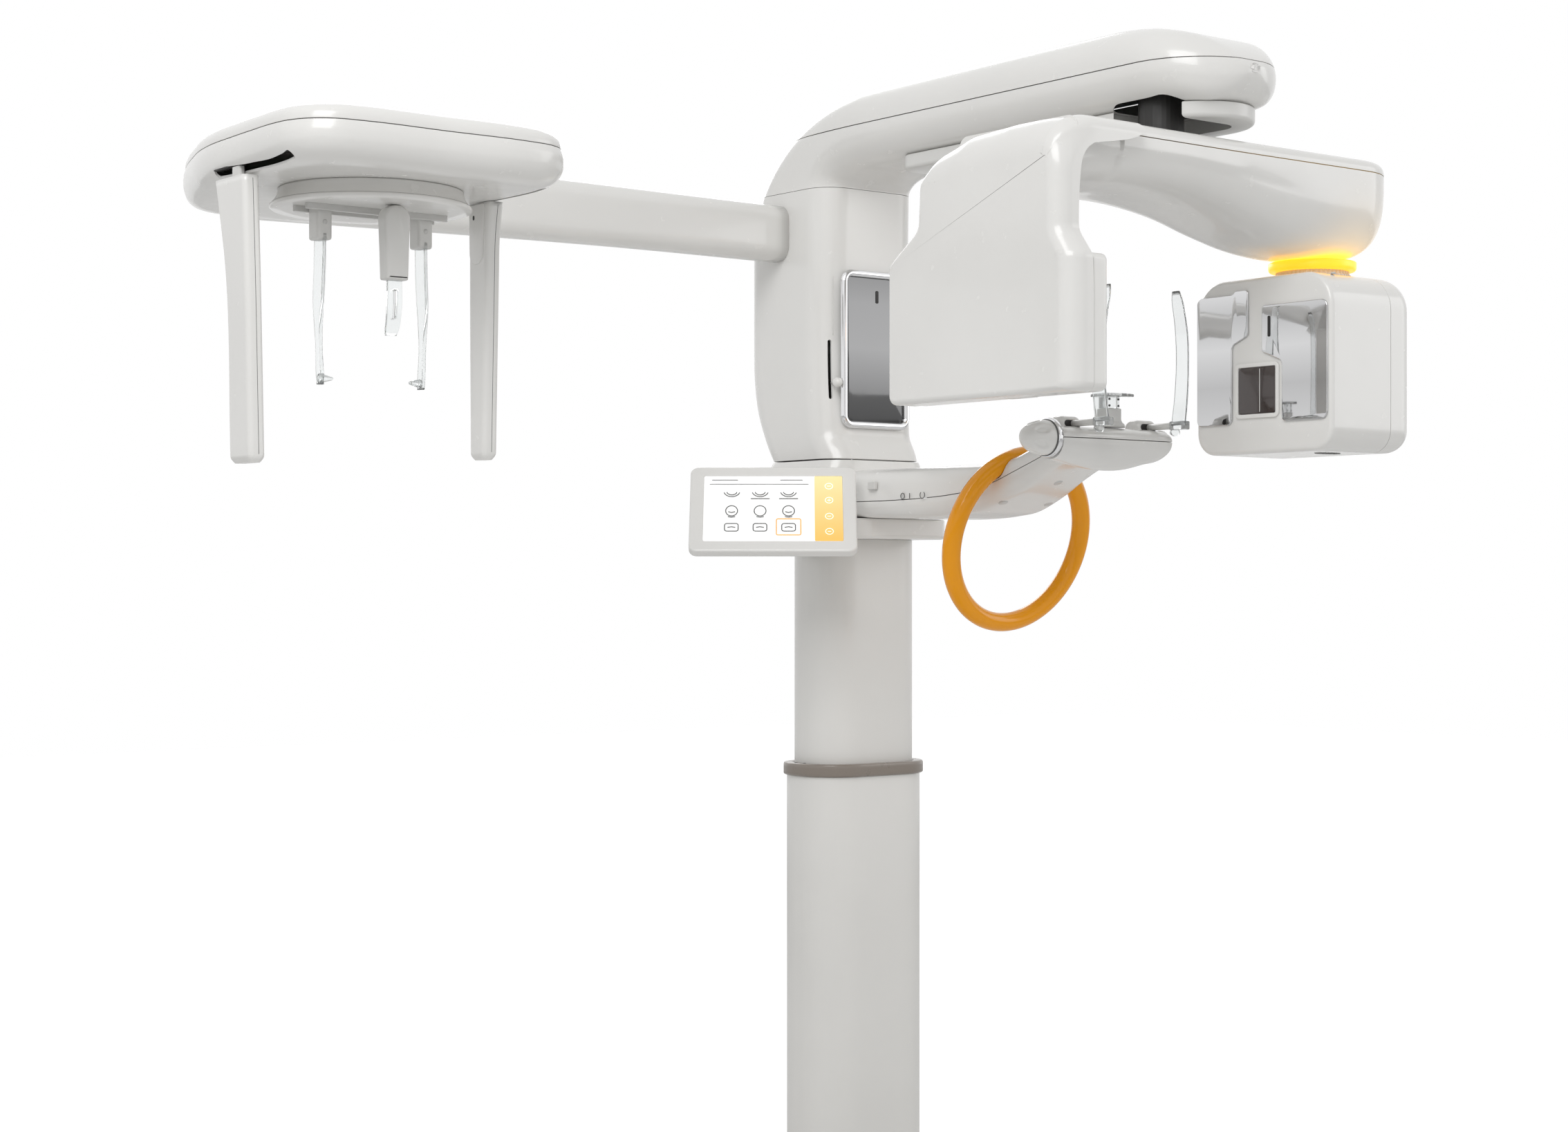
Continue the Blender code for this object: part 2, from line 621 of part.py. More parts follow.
def make_gantry(stage_x):
    gantry = body("gantry", AXIS, stage_x)
    centre = (AXIS.x, AXIS.y, 0.0)
    profile = [(0.0, 1.9677), (0.044, 1.9677), (0.044, 1.955), (SHAFT_RADIUS, 1.948),
               (SHAFT_RADIUS, BEAM_TOP + GAP), (0.0, BEAM_TOP + GAP)]
    turned("gantry_shaft", profile, centre, gantry, "dark_window")

    skin = keep_side(loft(beam_loops(), True, True), (0, 0, BEAM_SEAM + GAP), (0, 0, 1))
    shell("beam_top_cover", skin, gantry, "white_shell")
    skin = keep_side(loft(beam_loops(), True, True), (0, 0, BEAM_SEAM - GAP), (0, 0, -1))
    shell("beam_bottom_cover", skin, gantry, "white_shell")

    outer, seam = DETECTOR_X[0], DETECTOR_SEAM
    loops = [upright(board_outline(-inset), x)
             for inset, x in ((0.010, outer), (0.0035, outer + 0.003), (0.0, outer + 0.010),
                              (0.0, seam - GAP))]
    shell("detector_outer_shell", loft(loops, cap_start=True), gantry, "white_shell")
    inner = DETECTOR_X[1]
    loops = [upright(panel_outline(-inset), x)
             for inset, x in ((0.0, seam), (0.0, inner - 0.010), (0.0035, inner - 0.003),
                              (0.010, inner))]
    shell("detector_inner_shell", loft(loops, cap_end=True), gantry, "white_shell")
    part("detector_panel", box((-0.375, -0.935, 1.500), (-0.335, -0.595, 1.670), 0.003, 1),
         gantry, "aluminium")

    ring = [(NECK_RADIUS, NECK.z - GAP), (NECK_RADIUS, 1.716), (0.066, 1.7068),
            (0.040, 1.7068), (0.040, NECK.z - GAP)]
    turned("neck_light_ring", ring, (NECK.x, NECK.y, 0), gantry, "amber_light")
    return gantry


def tube_outline(inset):
    centre = (sum(TUBE_Y) / 2, sum(TUBE_Z) / 2)
    half = ((TUBE_Y[1] - TUBE_Y[0]) / 2 - inset, (TUBE_Z[1] - TUBE_Z[0]) / 2 - inset)
    return shifted(rounded(*half, TUBE_CORNER, 6), *centre)


def make_tube_head(gantry):
    head = body("tube_head", NECK, gantry)
    ring = [(0.061, 1.7065), (0.061, TUBE_Z[1] + GAP), (0.030, TUBE_Z[1] + GAP), (0.030, 1.7065)]
    turned("tube_neck", ring, (NECK.x, NECK.y, 0), head, "grey_plastic")

    front, seam, rear = TUBE_X[0], TUBE_SEAM, TUBE_X[1]
    loops = [upright(tube_outline(inset), x)
             for inset, x in ((0.006, front), (0.002, front + 0.002), (0.0, front + 0.006),
                              (0.0, seam - GAP))]
    shell("tube_front_shell", loft(loops, cap_start=True), head, "white_shell")
    loops = [upright(tube_outline(inset), x)
             for inset, x in ((0.0, seam), (0.0, seam + 0.028), (0.003, seam + 0.044),
                              (0.010, rear - 0.004), (0.020, rear))]
    shell("tube_rear_shell", loft(loops, cap_end=True), head, "white_shell")

    face = front - GAP
    left = [(-0.660, 1.640), (-0.738, 1.640), (-0.738, 1.652), (-0.772, 1.650), (-0.772, 1.588),
            (-0.737, 1.570), (-0.737, 1.456), (-0.660, 1.456)]
    right = [(-0.800, 1.648), (-0.931, 1.648), (-0.931, 1.458), (-0.838, 1.458),
             (-0.838, 1.566), (-0.832, 1.574), (-0.800, 1.588)]
    part("tube_mirror_left", flat(left, 0, face - 0.003, face), head, "mirror")
    part("tube_mirror_right", flat(right, 0, face - 0.003, face), head, "mirror")
    window = shifted(rounded(0.044, 0.046, 0.006), -0.787, 1.512)
    part("beam_window", flat(window, 0, face - 0.004, face), head, "dark_window")
    part("xray_tube", rod((0.275, -0.796, 1.440), (0.275, -0.796, 1.640), 0.033), head, "steel")


# ---------------------------------------------------------------- lower arm and chin support

ARM_PATH = ((-0.084, 0.105, 1.322, 1.348, 1.404), (-0.140, 0.104, 1.3187, 1.347, 1.406),
            (-0.220, 0.100, 1.3187, 1.347, 1.407), (-0.300, 0.096, 1.3187, 1.350, 1.408),
            (-0.360, 0.091, 1.3187, 1.353, 1.410), (-0.410, 0.087, 1.324, 1.358, 1.418),
            (-0.450, 0.083, 1.336, 1.368, 1.436), (-0.490, 0.080, 1.352, 1.386, 1.449),
            (-0.530, 0.078, 1.372, 1.406, 1.455), (-0.570, 0.076, 1.392, 1.418, 1.457),
            (-0.6035, 0.075, 1.398, 1.4225, 1.455))


def arm_half(row, upper):
    """Half a section of the lower arm, open at its seam, from +X over to -X."""
    y, half, bottom, seam, top = row
    reach = (top - seam) if upper else (seam - bottom)
    side = 1 if upper else -1
    radius = min(0.026, reach * 0.85)
    points = [(half, seam + side * GAP)]
    for step in range(5):
        angle = math.radians(90) * step / 4
        points.append((half - radius * (1 - math.cos(angle)),
                       seam + side * (reach - radius * (1 - math.sin(angle)))))
    points += [(-x, z) for x, z in reversed(points)]
    return [Vector((x, y, z)) for x, z in points]


def handle_mesh(tube_radius, sides=12, steps=48):
    """The handle's ring, its plane tipped towards the patient at the top."""
    bm = bmesh.new()
    tilt = Matrix.Rotation(HANDLE_TILT, 4, "X") @ Matrix.Rotation(math.radians(90), 4, "X")
    rows = []
    for step in range(steps):
        around = 2 * math.pi * step / steps
        row = []
        for side in range(sides):
            angle = 2 * math.pi * side / sides
            reach = HANDLE_RADIUS + tube_radius * math.cos(angle)
            local = Vector((reach * math.cos(around), reach * math.sin(around),
                            tube_radius * math.sin(angle)))
            row.append(bm.verts.new(HANDLE_CENTRE + tilt @ local))
        rows.append(row)
    for i in range(steps):
        for j in range(sides):
            one, two = rows[i], rows[(i + 1) % steps]
            bm.faces.new((one[j], two[j], two[(j + 1) % sides], one[(j + 1) % sides]))
    bmesh.ops.recalc_face_normals(bm, faces=bm.faces[:])
    return to_mesh(bm)


def chin_half(upper):
    """Half of the chin support's round housing, a shell along X."""
    side = 1 if upper else -1
    depth = CHIN_DEPTH[0 if upper else 1]
    stations = ((CHIN_X[0], 0.030), (CHIN_X[0] + 0.012, 0.0345), (-0.050, CHIN_RADIUS),
                (0.050, CHIN_RADIUS), (CHIN_X[1] - 0.016, 0.034), (CHIN_X[1], 0.026))
    loops = []
    for x, radius in stations:
        half_turn = [math.radians(180) * step / 14 for step in range(15)]
        loops.append([Vector((x, CHIN.y + radius * math.cos(a),
                              CHIN.z + side * (2 * GAP + radius / CHIN_RADIUS * depth * math.sin(a))))
                      for a in half_turn])
    return loops


def make_lower_arm(lift):
    ring = cutter("handle_path", handle_mesh(HANDLE_TUBE + 3 * GAP, 14))
    for name, upper in (("lower_arm_top_cover", True), ("lower_arm_bottom_cover", False)):
        skin = loft([arm_half(row, upper) for row in ARM_PATH], closed=False)
        combine(shell(name, skin, lift, "white_shell", 0.004), ring)
    part("handle_ring", handle_mesh(HANDLE_TUBE), lift, "amber_gloss")

    for name, upper in (("chin_housing_upper", True), ("chin_housing_lower", False)):
        obj = shell(name, loft(chin_half(upper), closed=False), lift, "white_shell", 0.004)
        if not upper:
            continue
        for side in (-1, 1):
            x = side * ROD_X
            hump = box((x - 0.024, CHIN.y - 0.004, CHIN.z + 0.010),
                       (x + 0.024, CHIN.y + 0.034, CHIN.z + 0.036), 0.006)
            combine(obj, cutter(f"hump_{side}", hump), "UNION")
        for side in (-1, 1):
            x = side * ROD_X
            slot = box((x - 0.019, CHIN.y - 0.060, CHIN.z + 0.0175),
                       (x + 0.019, CHIN.y + 0.028, CHIN.z + 0.0305))
            combine(obj, cutter(f"rod_slot_{side}", slot))

    base = CHIN.z + CHIN_DEPTH[0] + 3 * GAP
    pillar = box((-0.017, CHIN.y - 0.013, base), (0.017, CHIN.y + 0.013, base + 0.024), 0.003, 1)
    part("chin_pillar", pillar, lift, "grey_plastic")
    top = base + 0.024 + GAP
    post = part("chin_rest", box((-0.015, CHIN.y - 0.010, top), (0.015, CHIN.y + 0.010, top + 0.020)),
                lift, "clear_acrylic")
    tray = flat(shifted(rounded(0.032, 0.028, 0.016), 0.0, CHIN.y - 0.006), 2, top + 0.018,
                top + 0.0225)
    combine(post, cutter("chin_tray", tray), "UNION")


def make_temple_supports(lift):
    knob_x = CHIN_X[0] - GAP
    knob = body("temple_knob_axle", (knob_x, CHIN.y, CHIN.z), lift)
    profile = [(0.0, 0.060), (0.010, 0.058), (0.020, 0.048), (0.0265, 0.028), (0.0275, 0.010),
               (0.031, 0.009), (0.031, 0.0), (0.0, 0.0)]
    loops = [[Vector((knob_x - height, CHIN.y + radius * math.cos(a), CHIN.z + radius * math.sin(a)))
              for a in [2 * math.pi * step / 28 for step in range(28)]]
             for radius, height in reversed(profile[1:-1])]
    part("temple_knob", solid(loops), knob, "white_shell")

    for name, side in (("left", -1), ("right", 1)):
        x = side * ROD_X
        slide = body(f"temple_{name}_slider", (x, CHIN.y, CHIN.z), lift)
        rod_z = CHIN.z + 0.024
        bar = rod((x, CHIN.y + 0.024, rod_z), (x, CHIN.y - 0.062, rod_z), 0.0055, 14)
        foot = Vector((x, CHIN.y - 0.067, rod_z))
        blade = part(f"temple_{name}_blade",
                     box(foot - Vector((0.011, 0.0200, 0.007)), foot + Vector((0.011, 0.0125, 0.007)),
                         0.002, 1), slide, "clear_acrylic")
        rise = [(0.000, -0.004, 0.000), (0.006, -0.003, 0.045), (0.009, -0.002, 0.085),
                (0.006, -0.002, 0.150), (-0.008, -0.002, 0.214)]
        loops = []
        for out, along, height in rise:
            width = 0.016 - 0.022 * height
            middle = foot + Vector((side * out, along, height))
            loops.append([middle + Vector((u, v, 0)) for u, v in rounded(0.0022, width, 0.002, 2)])
        combine(blade, cutter(f"temple_{name}_stem", solid(loops)), "UNION")
        combine(blade, cutter(f"temple_{name}_rod", bar), "UNION")


def make_controls(lift):
    """A power rocker on the arm's -X side and an emergency stop on the block's +X side."""
    pivot = Vector((-0.1062, -0.180, 1.372))
    rocker = body("power_rocker_axle", pivot, lift)
    part("power_switch", box(pivot - Vector((0.004, 0.010, 0.007)), pivot + Vector((0.003, 0.010, 0.007)),
                             0.001, 1), rocker, "grey_plastic")
    stop = Vector((0.1185, 0.030, 1.362))
    plunger = body("emergency_stop_plunger", stop, lift)
    head = part("emergency_stop", rod(stop + Vector((0.010, 0, 0)), stop + Vector((0.022, 0, 0)), 0.018),
                plunger, "red_plastic")
    combine(head, cutter("stop_stem", rod(stop + Vector((0.0045, 0, 0)), stop + Vector((0.012, 0, 0)),
                                          0.010)), "UNION")


# ---------------------------------------------------------------- screen

def screen_frame():
    """The screen's sideways, upward and facing directions."""
    side = Vector((math.cos(SCREEN_TURN), math.sin(SCREEN_TURN), 0))
    back = Vector((-math.sin(SCREEN_TURN), math.cos(SCREEN_TURN), 0))
    up = back * math.sin(SCREEN_TILT) + Vector((0, 0, math.cos(SCREEN_TILT)))
    face = -back * math.cos(SCREEN_TILT) + Vector((0, 0, math.sin(SCREEN_TILT)))
    return side, up, face


def slab(half_u, half_v, corner, depths):
    """A rounded slab in the screen's plane: depths are (distance behind the face, inset)."""
    side, up, face = screen_frame()
    loops = []
    for depth, inset in depths:
        outline = rounded(half_u - inset, half_v - inset, corner)
        loops.append([SCREEN + side * u + up * v - face * depth for u, v in outline])
    return solid(loops)


def make_screen(lift):
    side, _, face = screen_frame()
    pivot = SCREEN - face * HINGE_BACK
    mount_top = pivot.z - 0.030
    reach = [(-0.118, 0.010), (-0.150, 0.020), (pivot.x - 0.014, pivot.y + 0.022),
             (pivot.x - 0.024, pivot.y), (pivot.x - 0.010, pivot.y - 0.022),
             (pivot.x + 0.012, pivot.y - 0.022), (-0.150, -0.060), (-0.118, -0.070)]
    mount = part("screen_mount", flat(reach, 2, mount_top - 0.024, mount_top), lift, "white_shell")
    # The mount hooks under the collar, beside the column.
    mount_root = box((-0.1345, -0.070, mount_top - 0.024), (-0.1183, 0.010, COLLAR_Z[1] - 0.004))
    combine(mount, cutter("mount_root", mount_root), "UNION")

    swivel = body("screen_swivel", (pivot.x, pivot.y, mount_top), lift)
    post = part("screen_bracket", rod((pivot.x, pivot.y, mount_top + GAP),
                                      (pivot.x, pivot.y, pivot.z), 0.011, 20),
                swivel, "grey_plastic")
    barrel = rod(pivot - side * 0.030, pivot + side * 0.030, 0.0110, 20)
    combine(post, cutter("hinge_barrel", barrel), "UNION")

    tilt = body("screen_tilt", pivot, swivel)
    width, height, thick = SCREEN_SIZE
    screen = part("screen_body",
                  slab(width / 2, height / 2, 0.014,
                       ((0.0, 0.004), (0.003, 0.0), (thick - 0.004, 0.0), (thick, 0.006))),
                  tilt, "white_shell")
    recess = slab(0.1175, 0.0735, 0.003, ((-0.01, 0.0), (0.0015, 0.0)))
    combine(screen, cutter("screen_recess", recess))
    part("screen_display", slab(0.1175 - GAP, 0.0735 - GAP, 0.003, ((0.0003, 0.0), (0.0012, 0.0))),
         tilt, "display_glass")


# ---------------------------------------------------------------- cephalometric unit

CAP_SIDE = ((0.130, -0.219), (0.168, -0.213), (0.197, -0.194), (0.214, -0.163), (0.219, -0.125),
            (0.218, -0.060), (0.2155, 0.010), (0.211, 0.080), (0.200, 0.140), (0.182, 0.200),
            (0.160, 0.265), (0.138, 0.318), (0.118, 0.350), (0.090, 0.368), (0.050, CEPH_BACK))


def cap_loop(inset, z):
    """The cap's outline, which narrows towards the arm behind it, drawn in by an inset."""
    middle = (CEPH_BACK - CEPH_HALF) / 2
    length = (CEPH_BACK + CEPH_HALF) / 2
    side = [(u * (1 - inset / CEPH_HALF), middle + (v - middle) * (1 - inset / length))
            for u, v in CAP_SIDE]
    outline = side + [(-u, v) for u, v in reversed(side)]
    return level(shifted(outline, CEPH.x, CEPH.y), z)


def make_ceph(lift):
    ends = ((-CARRIAGE_HALF_X - GAP, 1.779, 1.878), (-0.40, 1.779, 1.880), (-1.190, 1.765, 1.884))
    loops = []
    for x, low, high in ends:
        half = (high - low) / 2
        outline = shifted(rounded(0.034, half, 0.026), CEPH_ARM_Y, (low + high) / 2)
        loops.append(upright(outline, x))
    arm = part("ceph_arm", solid(loops), lift, "white_shell")
    inside = box((-1.14, CEPH_ARM_Y - 0.028, 1.790), (-0.05, CEPH_ARM_Y + 0.028, 1.868))
    combine(arm, cutter("ceph_arm_hollow", inside))
    bracket = box((CEPH.x - 0.060, CEPH.y + CEPH_BACK - 0.004, 1.772),
                  (CEPH.x + 0.035, CEPH_ARM_Y - 0.0300, 1.834), 0.006)
    combine(arm, cutter("ceph_bracket", bracket), "UNION")

    skin = [cap_loop(0.045, CEPH.z), cap_loop(0.014, CEPH.z + 0.006),
            cap_loop(0.003, CEPH.z + 0.022), cap_loop(0.0, CEPH.z + 0.040),
            cap_loop(0.003, CEPH_SEAM - GAP)]
    lower = shell("ceph_cap_lower", loft(skin, cap_start=True), lift, "white_shell")
    for name, x in (("sensor", SENSOR_X), ("collimator", COLLIMATOR_X)):
        slot = box((x - 0.0065, CEPH.y - 0.175, CEPH.z - 0.02), (x + 0.0065, CEPH.y + 0.085, CEPH.z + 0.02))
        combine(lower, cutter(f"{name}_slot", slot))
    notch = box((CEPH.x - 0.0605, CEPH.y + CEPH_BACK - 0.030, 1.7715),
                (CEPH.x + 0.0355, CEPH.y + CEPH_BACK + 0.02, 1.90))
    combine(lower, cutter("bracket_notch", notch))
    skin = [cap_loop(0.004, CEPH_SEAM + GAP), cap_loop(0.010, CEPH_SEAM + 0.012),
            cap_loop(0.026, CEPH_TOP - 0.005), cap_loop(0.055, CEPH_TOP)]
    upper = shell("ceph_cap_upper", loft(skin, cap_end=True), lift, "white_shell")
    combine(upper, bpy.data.objects["bracket_notch"])

    hub = body("ceph_hub_axle", CEPH, lift)
    profile = [(0.130, CEPH.z - GAP), (0.131, 1.749), (0.134, 1.741), (HUB_RADIUS, 1.7335),
               (HUB_RADIUS, HUB_BOTTOM), (0.0, HUB_BOTTOM)]
    turned("ceph_hub", [(0.0, CEPH.z - GAP)] + profile, (CEPH.x, CEPH.y, 0), hub, "white_shell", 40)
    make_ear_arms(hub)
    make_nasion(hub)
    make_panel("ceph_sensor", SENSOR_X, SENSOR_EDGES, lift)
    make_panel("ceph_collimator", COLLIMATOR_X, COLLIMATOR_EDGES, lift)


def make_ear_arms(hub):
    top = HUB_BOTTOM - GAP
    for name, side in (("left", -1), ("right", 1)):
        x = CEPH.x + side * EAR_SPREAD
        slider = body(f"ear_{name}_slider", (x, CEPH.y, HUB_BOTTOM), hub)
        block = box((x - 0.012, CEPH.y - 0.014, top - 0.050), (x + 0.012, CEPH.y + 0.014, top), 0.003, 1)
        low = top - 0.045
        loops = [[Vector((x + u + side * lean, CEPH.y + v, z)) for u, v in rounded(0.003, half, 0.0025, 2)]
                 for half, lean, z in ((0.0120, 0.0, low), (0.0115, 0.001, 1.640), (0.0075, 0.003, 1.590),
                                       (0.0070, 0.002, 1.530), (0.0080, 0.0, 1.480))]
        arm = part(f"ear_{name}_arm", solid(loops), slider, "clear_acrylic")
        tip = rod((x - side * 0.001, CEPH.y, 1.490), (x - side * 0.016, CEPH.y, 1.490), 0.0042, 12, 0.0028)
        combine(arm, cutter(f"ear_{name}_tip", tip), "UNION")
        combine(arm, cutter(f"ear_{name}_block", block), "UNION")


def make_nasion(hub):
    y = CEPH.y - 0.065
    slider = body("nasion_slider", (CEPH.x, y, HUB_BOTTOM), hub)
    top = HUB_BOTTOM - GAP
    block = box((CEPH.x - 0.021, y - 0.013, 1.625), (CEPH.x + 0.021, y + 0.013, top), 0.004)
    column = part("nasion_body", block, slider, "white_shell")
    channel = box((CEPH.x - 0.0125, y - 0.0035, 1.60), (CEPH.x + 0.0125, y + 0.0035, 1.700))
    combine(column, cutter("nasion_channel", channel))
    tip_slider = body("nasion_tip_slider", (CEPH.x, y, 1.625), slider)
    loops = [[Vector((CEPH.x + u, y + v + bow, z)) for u, v in rounded(half, 0.0030, 0.0025, 2)]
             for half, bow, z in ((0.0120, 0.0, 1.695), (0.0120, 0.0, 1.620), (0.0120, 0.0, 1.590),
                                  (0.0115, 0.004, 1.565), (0.0090, 0.010, 1.549))]
    part("nasion_tip", solid(loops), tip_slider, "clear_acrylic")


def make_panel(name, x, edges, lift):
    """A narrow hanging panel set by its two edges at rising heights, its neck in a slot of the cap."""
    slider = body(f"{name}_slider", (x, CEPH.y, CEPH.z), lift)
    low, front, rear = edges[0]
    rows = [(low, front + 0.004, rear - 0.004, PANEL_HALF_X - 0.0025),
            (low + 0.006, front, rear, PANEL_HALF_X)]
    rows += [(z, front, rear, PANEL_HALF_X) for z, front, rear in edges[1:]]
    loops = [level(shifted(rounded(half_x, (rear - front) / 2, 0.008), x, CEPH.y + (front + rear) / 2), z)
             for z, front, rear, half_x in rows]
    panel = part(name, solid(loops), slider, "white_shell")
    neck = box((x - 0.005, CEPH.y - 0.030, CEPH.z - 0.010), (x + 0.005, CEPH.y + 0.030, CEPH.z + 0.012))
    combine(panel, cutter(f"{name}_neck", neck), "UNION")


def main():
    for obj in list(bpy.data.objects):
        bpy.data.objects.remove(obj, do_unlink=True)
    root = body("stand", (0, 0, 0))
    make_stand(root)
    lift = body("lift", (0, 0, COLUMN_TOP), root)
    make_carriage(lift)
    make_laser_knob(lift)
    make_upper_arm(lift)
    gantry = make_gantry(make_stages(lift))
    make_tube_head(gantry)
    make_lower_arm(lift)
    make_temple_supports(lift)
    make_controls(lift)
    make_screen(lift)
    make_ceph(lift)


main()
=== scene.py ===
import math

import bmesh
import bpy
import numpy as np
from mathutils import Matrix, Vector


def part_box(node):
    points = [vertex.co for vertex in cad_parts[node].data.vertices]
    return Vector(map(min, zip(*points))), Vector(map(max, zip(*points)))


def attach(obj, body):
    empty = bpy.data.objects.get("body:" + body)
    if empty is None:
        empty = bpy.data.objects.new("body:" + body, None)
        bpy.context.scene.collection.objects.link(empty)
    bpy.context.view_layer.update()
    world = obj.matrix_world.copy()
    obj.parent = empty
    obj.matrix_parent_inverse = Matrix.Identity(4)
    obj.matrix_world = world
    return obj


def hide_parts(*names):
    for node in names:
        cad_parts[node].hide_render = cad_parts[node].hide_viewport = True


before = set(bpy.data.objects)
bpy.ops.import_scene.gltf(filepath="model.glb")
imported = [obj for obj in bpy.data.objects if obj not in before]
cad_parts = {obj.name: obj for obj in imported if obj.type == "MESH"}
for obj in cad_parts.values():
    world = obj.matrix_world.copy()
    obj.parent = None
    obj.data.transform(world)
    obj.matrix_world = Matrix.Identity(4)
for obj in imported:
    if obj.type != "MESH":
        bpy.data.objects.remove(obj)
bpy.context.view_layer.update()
print("frame loaded")


# Outlines and skins. Every shape below is an array of points, worked out whole.

def boxOf(node):
    # a node's lowest and highest corners, as arrays
    low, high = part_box(node)
    return np.array(low), np.array(high)


def glide(table, places):
    # cubic curve through (place, value) pairs, its slopes taken from the neighbouring pairs
    knots, values = np.array(sorted(table), float).T
    slopes = np.gradient(values, knots)
    places = np.clip(places, knots[0], knots[-1])
    i = np.clip(np.searchsorted(knots, places) - 1, 0, len(knots) - 2)
    span = knots[i + 1] - knots[i]
    t = (places - knots[i]) / span
    start = (2 * t**3 - 3 * t**2 + 1) * values[i] + (t**3 - 2 * t**2 + t) * span * slopes[i]
    return start + (3 * t**2 - 2 * t**3) * values[i + 1] + (t**3 - t**2) * span * slopes[i + 1]


def filleted(corners, arcSteps=8, sideSteps=4):
    # polygon of (u, v, radius) corners, each an arc tangent to both sides, joined by straight sides
    table = np.array(corners, float)
    points, radius = table[:, :2], table[:, 2]
    back = np.roll(points, 1, 0) - points
    ahead = np.roll(points, -1, 0) - points
    back /= np.linalg.norm(back, axis=1, keepdims=True)
    ahead /= np.linalg.norm(ahead, axis=1, keepdims=True)
    halfAngle = np.arccos(np.clip((back * ahead).sum(1), -1, 1)) / 2
    reach = (radius / np.tan(halfAngle))[:, None]
    inwards = back + ahead
    inwards /= np.linalg.norm(inwards, axis=1, keepdims=True)
    centres = points + inwards * (radius / np.sin(halfAngle))[:, None]
    start, end = points + back * reach - centres, points + ahead * reach - centres
    first = np.arctan2(start[:, 1], start[:, 0])
    sweep = (np.arctan2(end[:, 1], end[:, 0]) - first + math.pi) % (2 * math.pi) - math.pi
    angles = first[:, None] + sweep[:, None] * np.linspace(0, 1, arcSteps + 1)
    arcs = np.stack([np.cos(angles), np.sin(angles)], -1) * radius[:, None, None] + centres[:, None]
    share = 0.5 - 0.5 * np.cos(math.pi * np.arange(1, sideSteps) / sideSteps)
    following = np.roll(arcs[:, 0], -1, 0)
    sides = arcs[:, -1:, :] * (1 - share[None, :, None]) + following[:, None] * share[None, :, None]
    return np.concatenate([arcs, sides], 1).reshape(-1, 2)


def rectangle(halfU, halfV, radius, centre=(0, 0), arcSteps=8, sideSteps=6):
    # rounded rectangle about its centre, from its +u +v corner round by -u
    radius = min(radius, halfU * 0.98, halfV * 0.98)
    u, v = centre
    corners = [(u + halfU, v + halfV, radius), (u - halfU, v + halfV, radius),
               (u - halfU, v - halfV, radius), (u + halfU, v - halfV, radius)]
    return filleted(corners, arcSteps, sideSteps)


def circle(radius, steps):
    # round outline about the origin, counter-clockwise
    angle = np.linspace(0, 2 * math.pi, steps, endpoint=False)
    return np.stack([radius * np.cos(angle), radius * np.sin(angle)], 1)


def inset(outline, amount):
    # outline moved inwards along its own normals
    along = np.roll(outline, -1, 0) - np.roll(outline, 1, 0)
    along /= np.linalg.norm(along, axis=1, keepdims=True)
    return outline - np.stack([along[:, 1], -along[:, 0]], 1) * amount


def rims(low, high, edge, edgeHigh=None):
    # (inset, height) rows of a slab: quarter rounds at both rims, with a support row beside each
    edgeHigh = edge if edgeHigh is None else edgeHigh
    angle = np.linspace(0, math.pi / 2, 5)
    under = np.stack([edge * (1 - np.sin(angle)), low + edge * (1 - np.cos(angle))], 1)
    over = np.stack([edgeHigh * (1 - np.cos(angle)), high - edgeHigh * (1 - np.sin(angle))], 1)
    room = under[-1, 1] + (over[0, 1] - under[-1, 1]) * np.array([0.06, 0.94])
    return np.concatenate([under, np.stack([np.zeros(2), room], 1), over])


def ringProfile(low, high, wall, edge):
    # (inset, height) rows round the wall of a hollow ring, its four edges rounded
    section = rectangle(wall / 2, (high - low) / 2, edge, (wall / 2, (low + high) / 2), 3, 3)
    return section[::-1]


def lay(rows, heights, axis=2):
    # flat outlines stood across an axis, one at each height
    heights = np.broadcast_to(np.array(heights, float)[:, None], rows.shape[:2])
    parts = [rows[..., 0], rows[..., 1]]
    parts.insert(axis, heights)
    return np.stack(parts, -1)


def slab(outline, profile, axis=2):
    # one outline repeated up a profile of (inset, height) rows
    rows = np.stack([inset(outline, amount) for amount, _ in profile])
    return lay(rows, [height for _, height in profile], axis)


def spun(profile, centre, axis=2, steps=48, squeeze=(1, 1)):
    # (radius, height) rows turned about an axis through the centre, oval where squeezed
    table = np.array(profile, float)
    turn = np.linspace(0, 2 * math.pi, steps, endpoint=False)
    ring = np.stack([np.cos(turn) * squeeze[0], np.sin(turn) * squeeze[1]], 1)
    grid = lay(table[:, :1, None] * ring[None], table[:, 1], axis)
    return grid + np.array(centre)


def tubeAlong(path, radius, sides=16, closed=False, flat=None):
    # circle carried along a path: its frame is the tangent, a fixed side direction and their cross
    path = np.array(path, float)
    if closed:
        tangent = np.roll(path, -1, 0) - np.roll(path, 1, 0)
    else:
        tangent = np.gradient(path, axis=0)
    tangent /= np.linalg.norm(tangent, axis=1, keepdims=True)
    side = np.cross(tangent, np.array(flat if flat is not None else (0, 0, 1), float))
    side /= np.linalg.norm(side, axis=1, keepdims=True)
    up = np.cross(side, tangent)
    radius = np.broadcast_to(np.array(radius, float), len(path))[:, None, None]
    turn = np.linspace(0, 2 * math.pi, sides, endpoint=False)[None, :, None]
    return path[:, None] + radius * (np.cos(turn) * side[:, None] + np.sin(turn) * up[:, None])


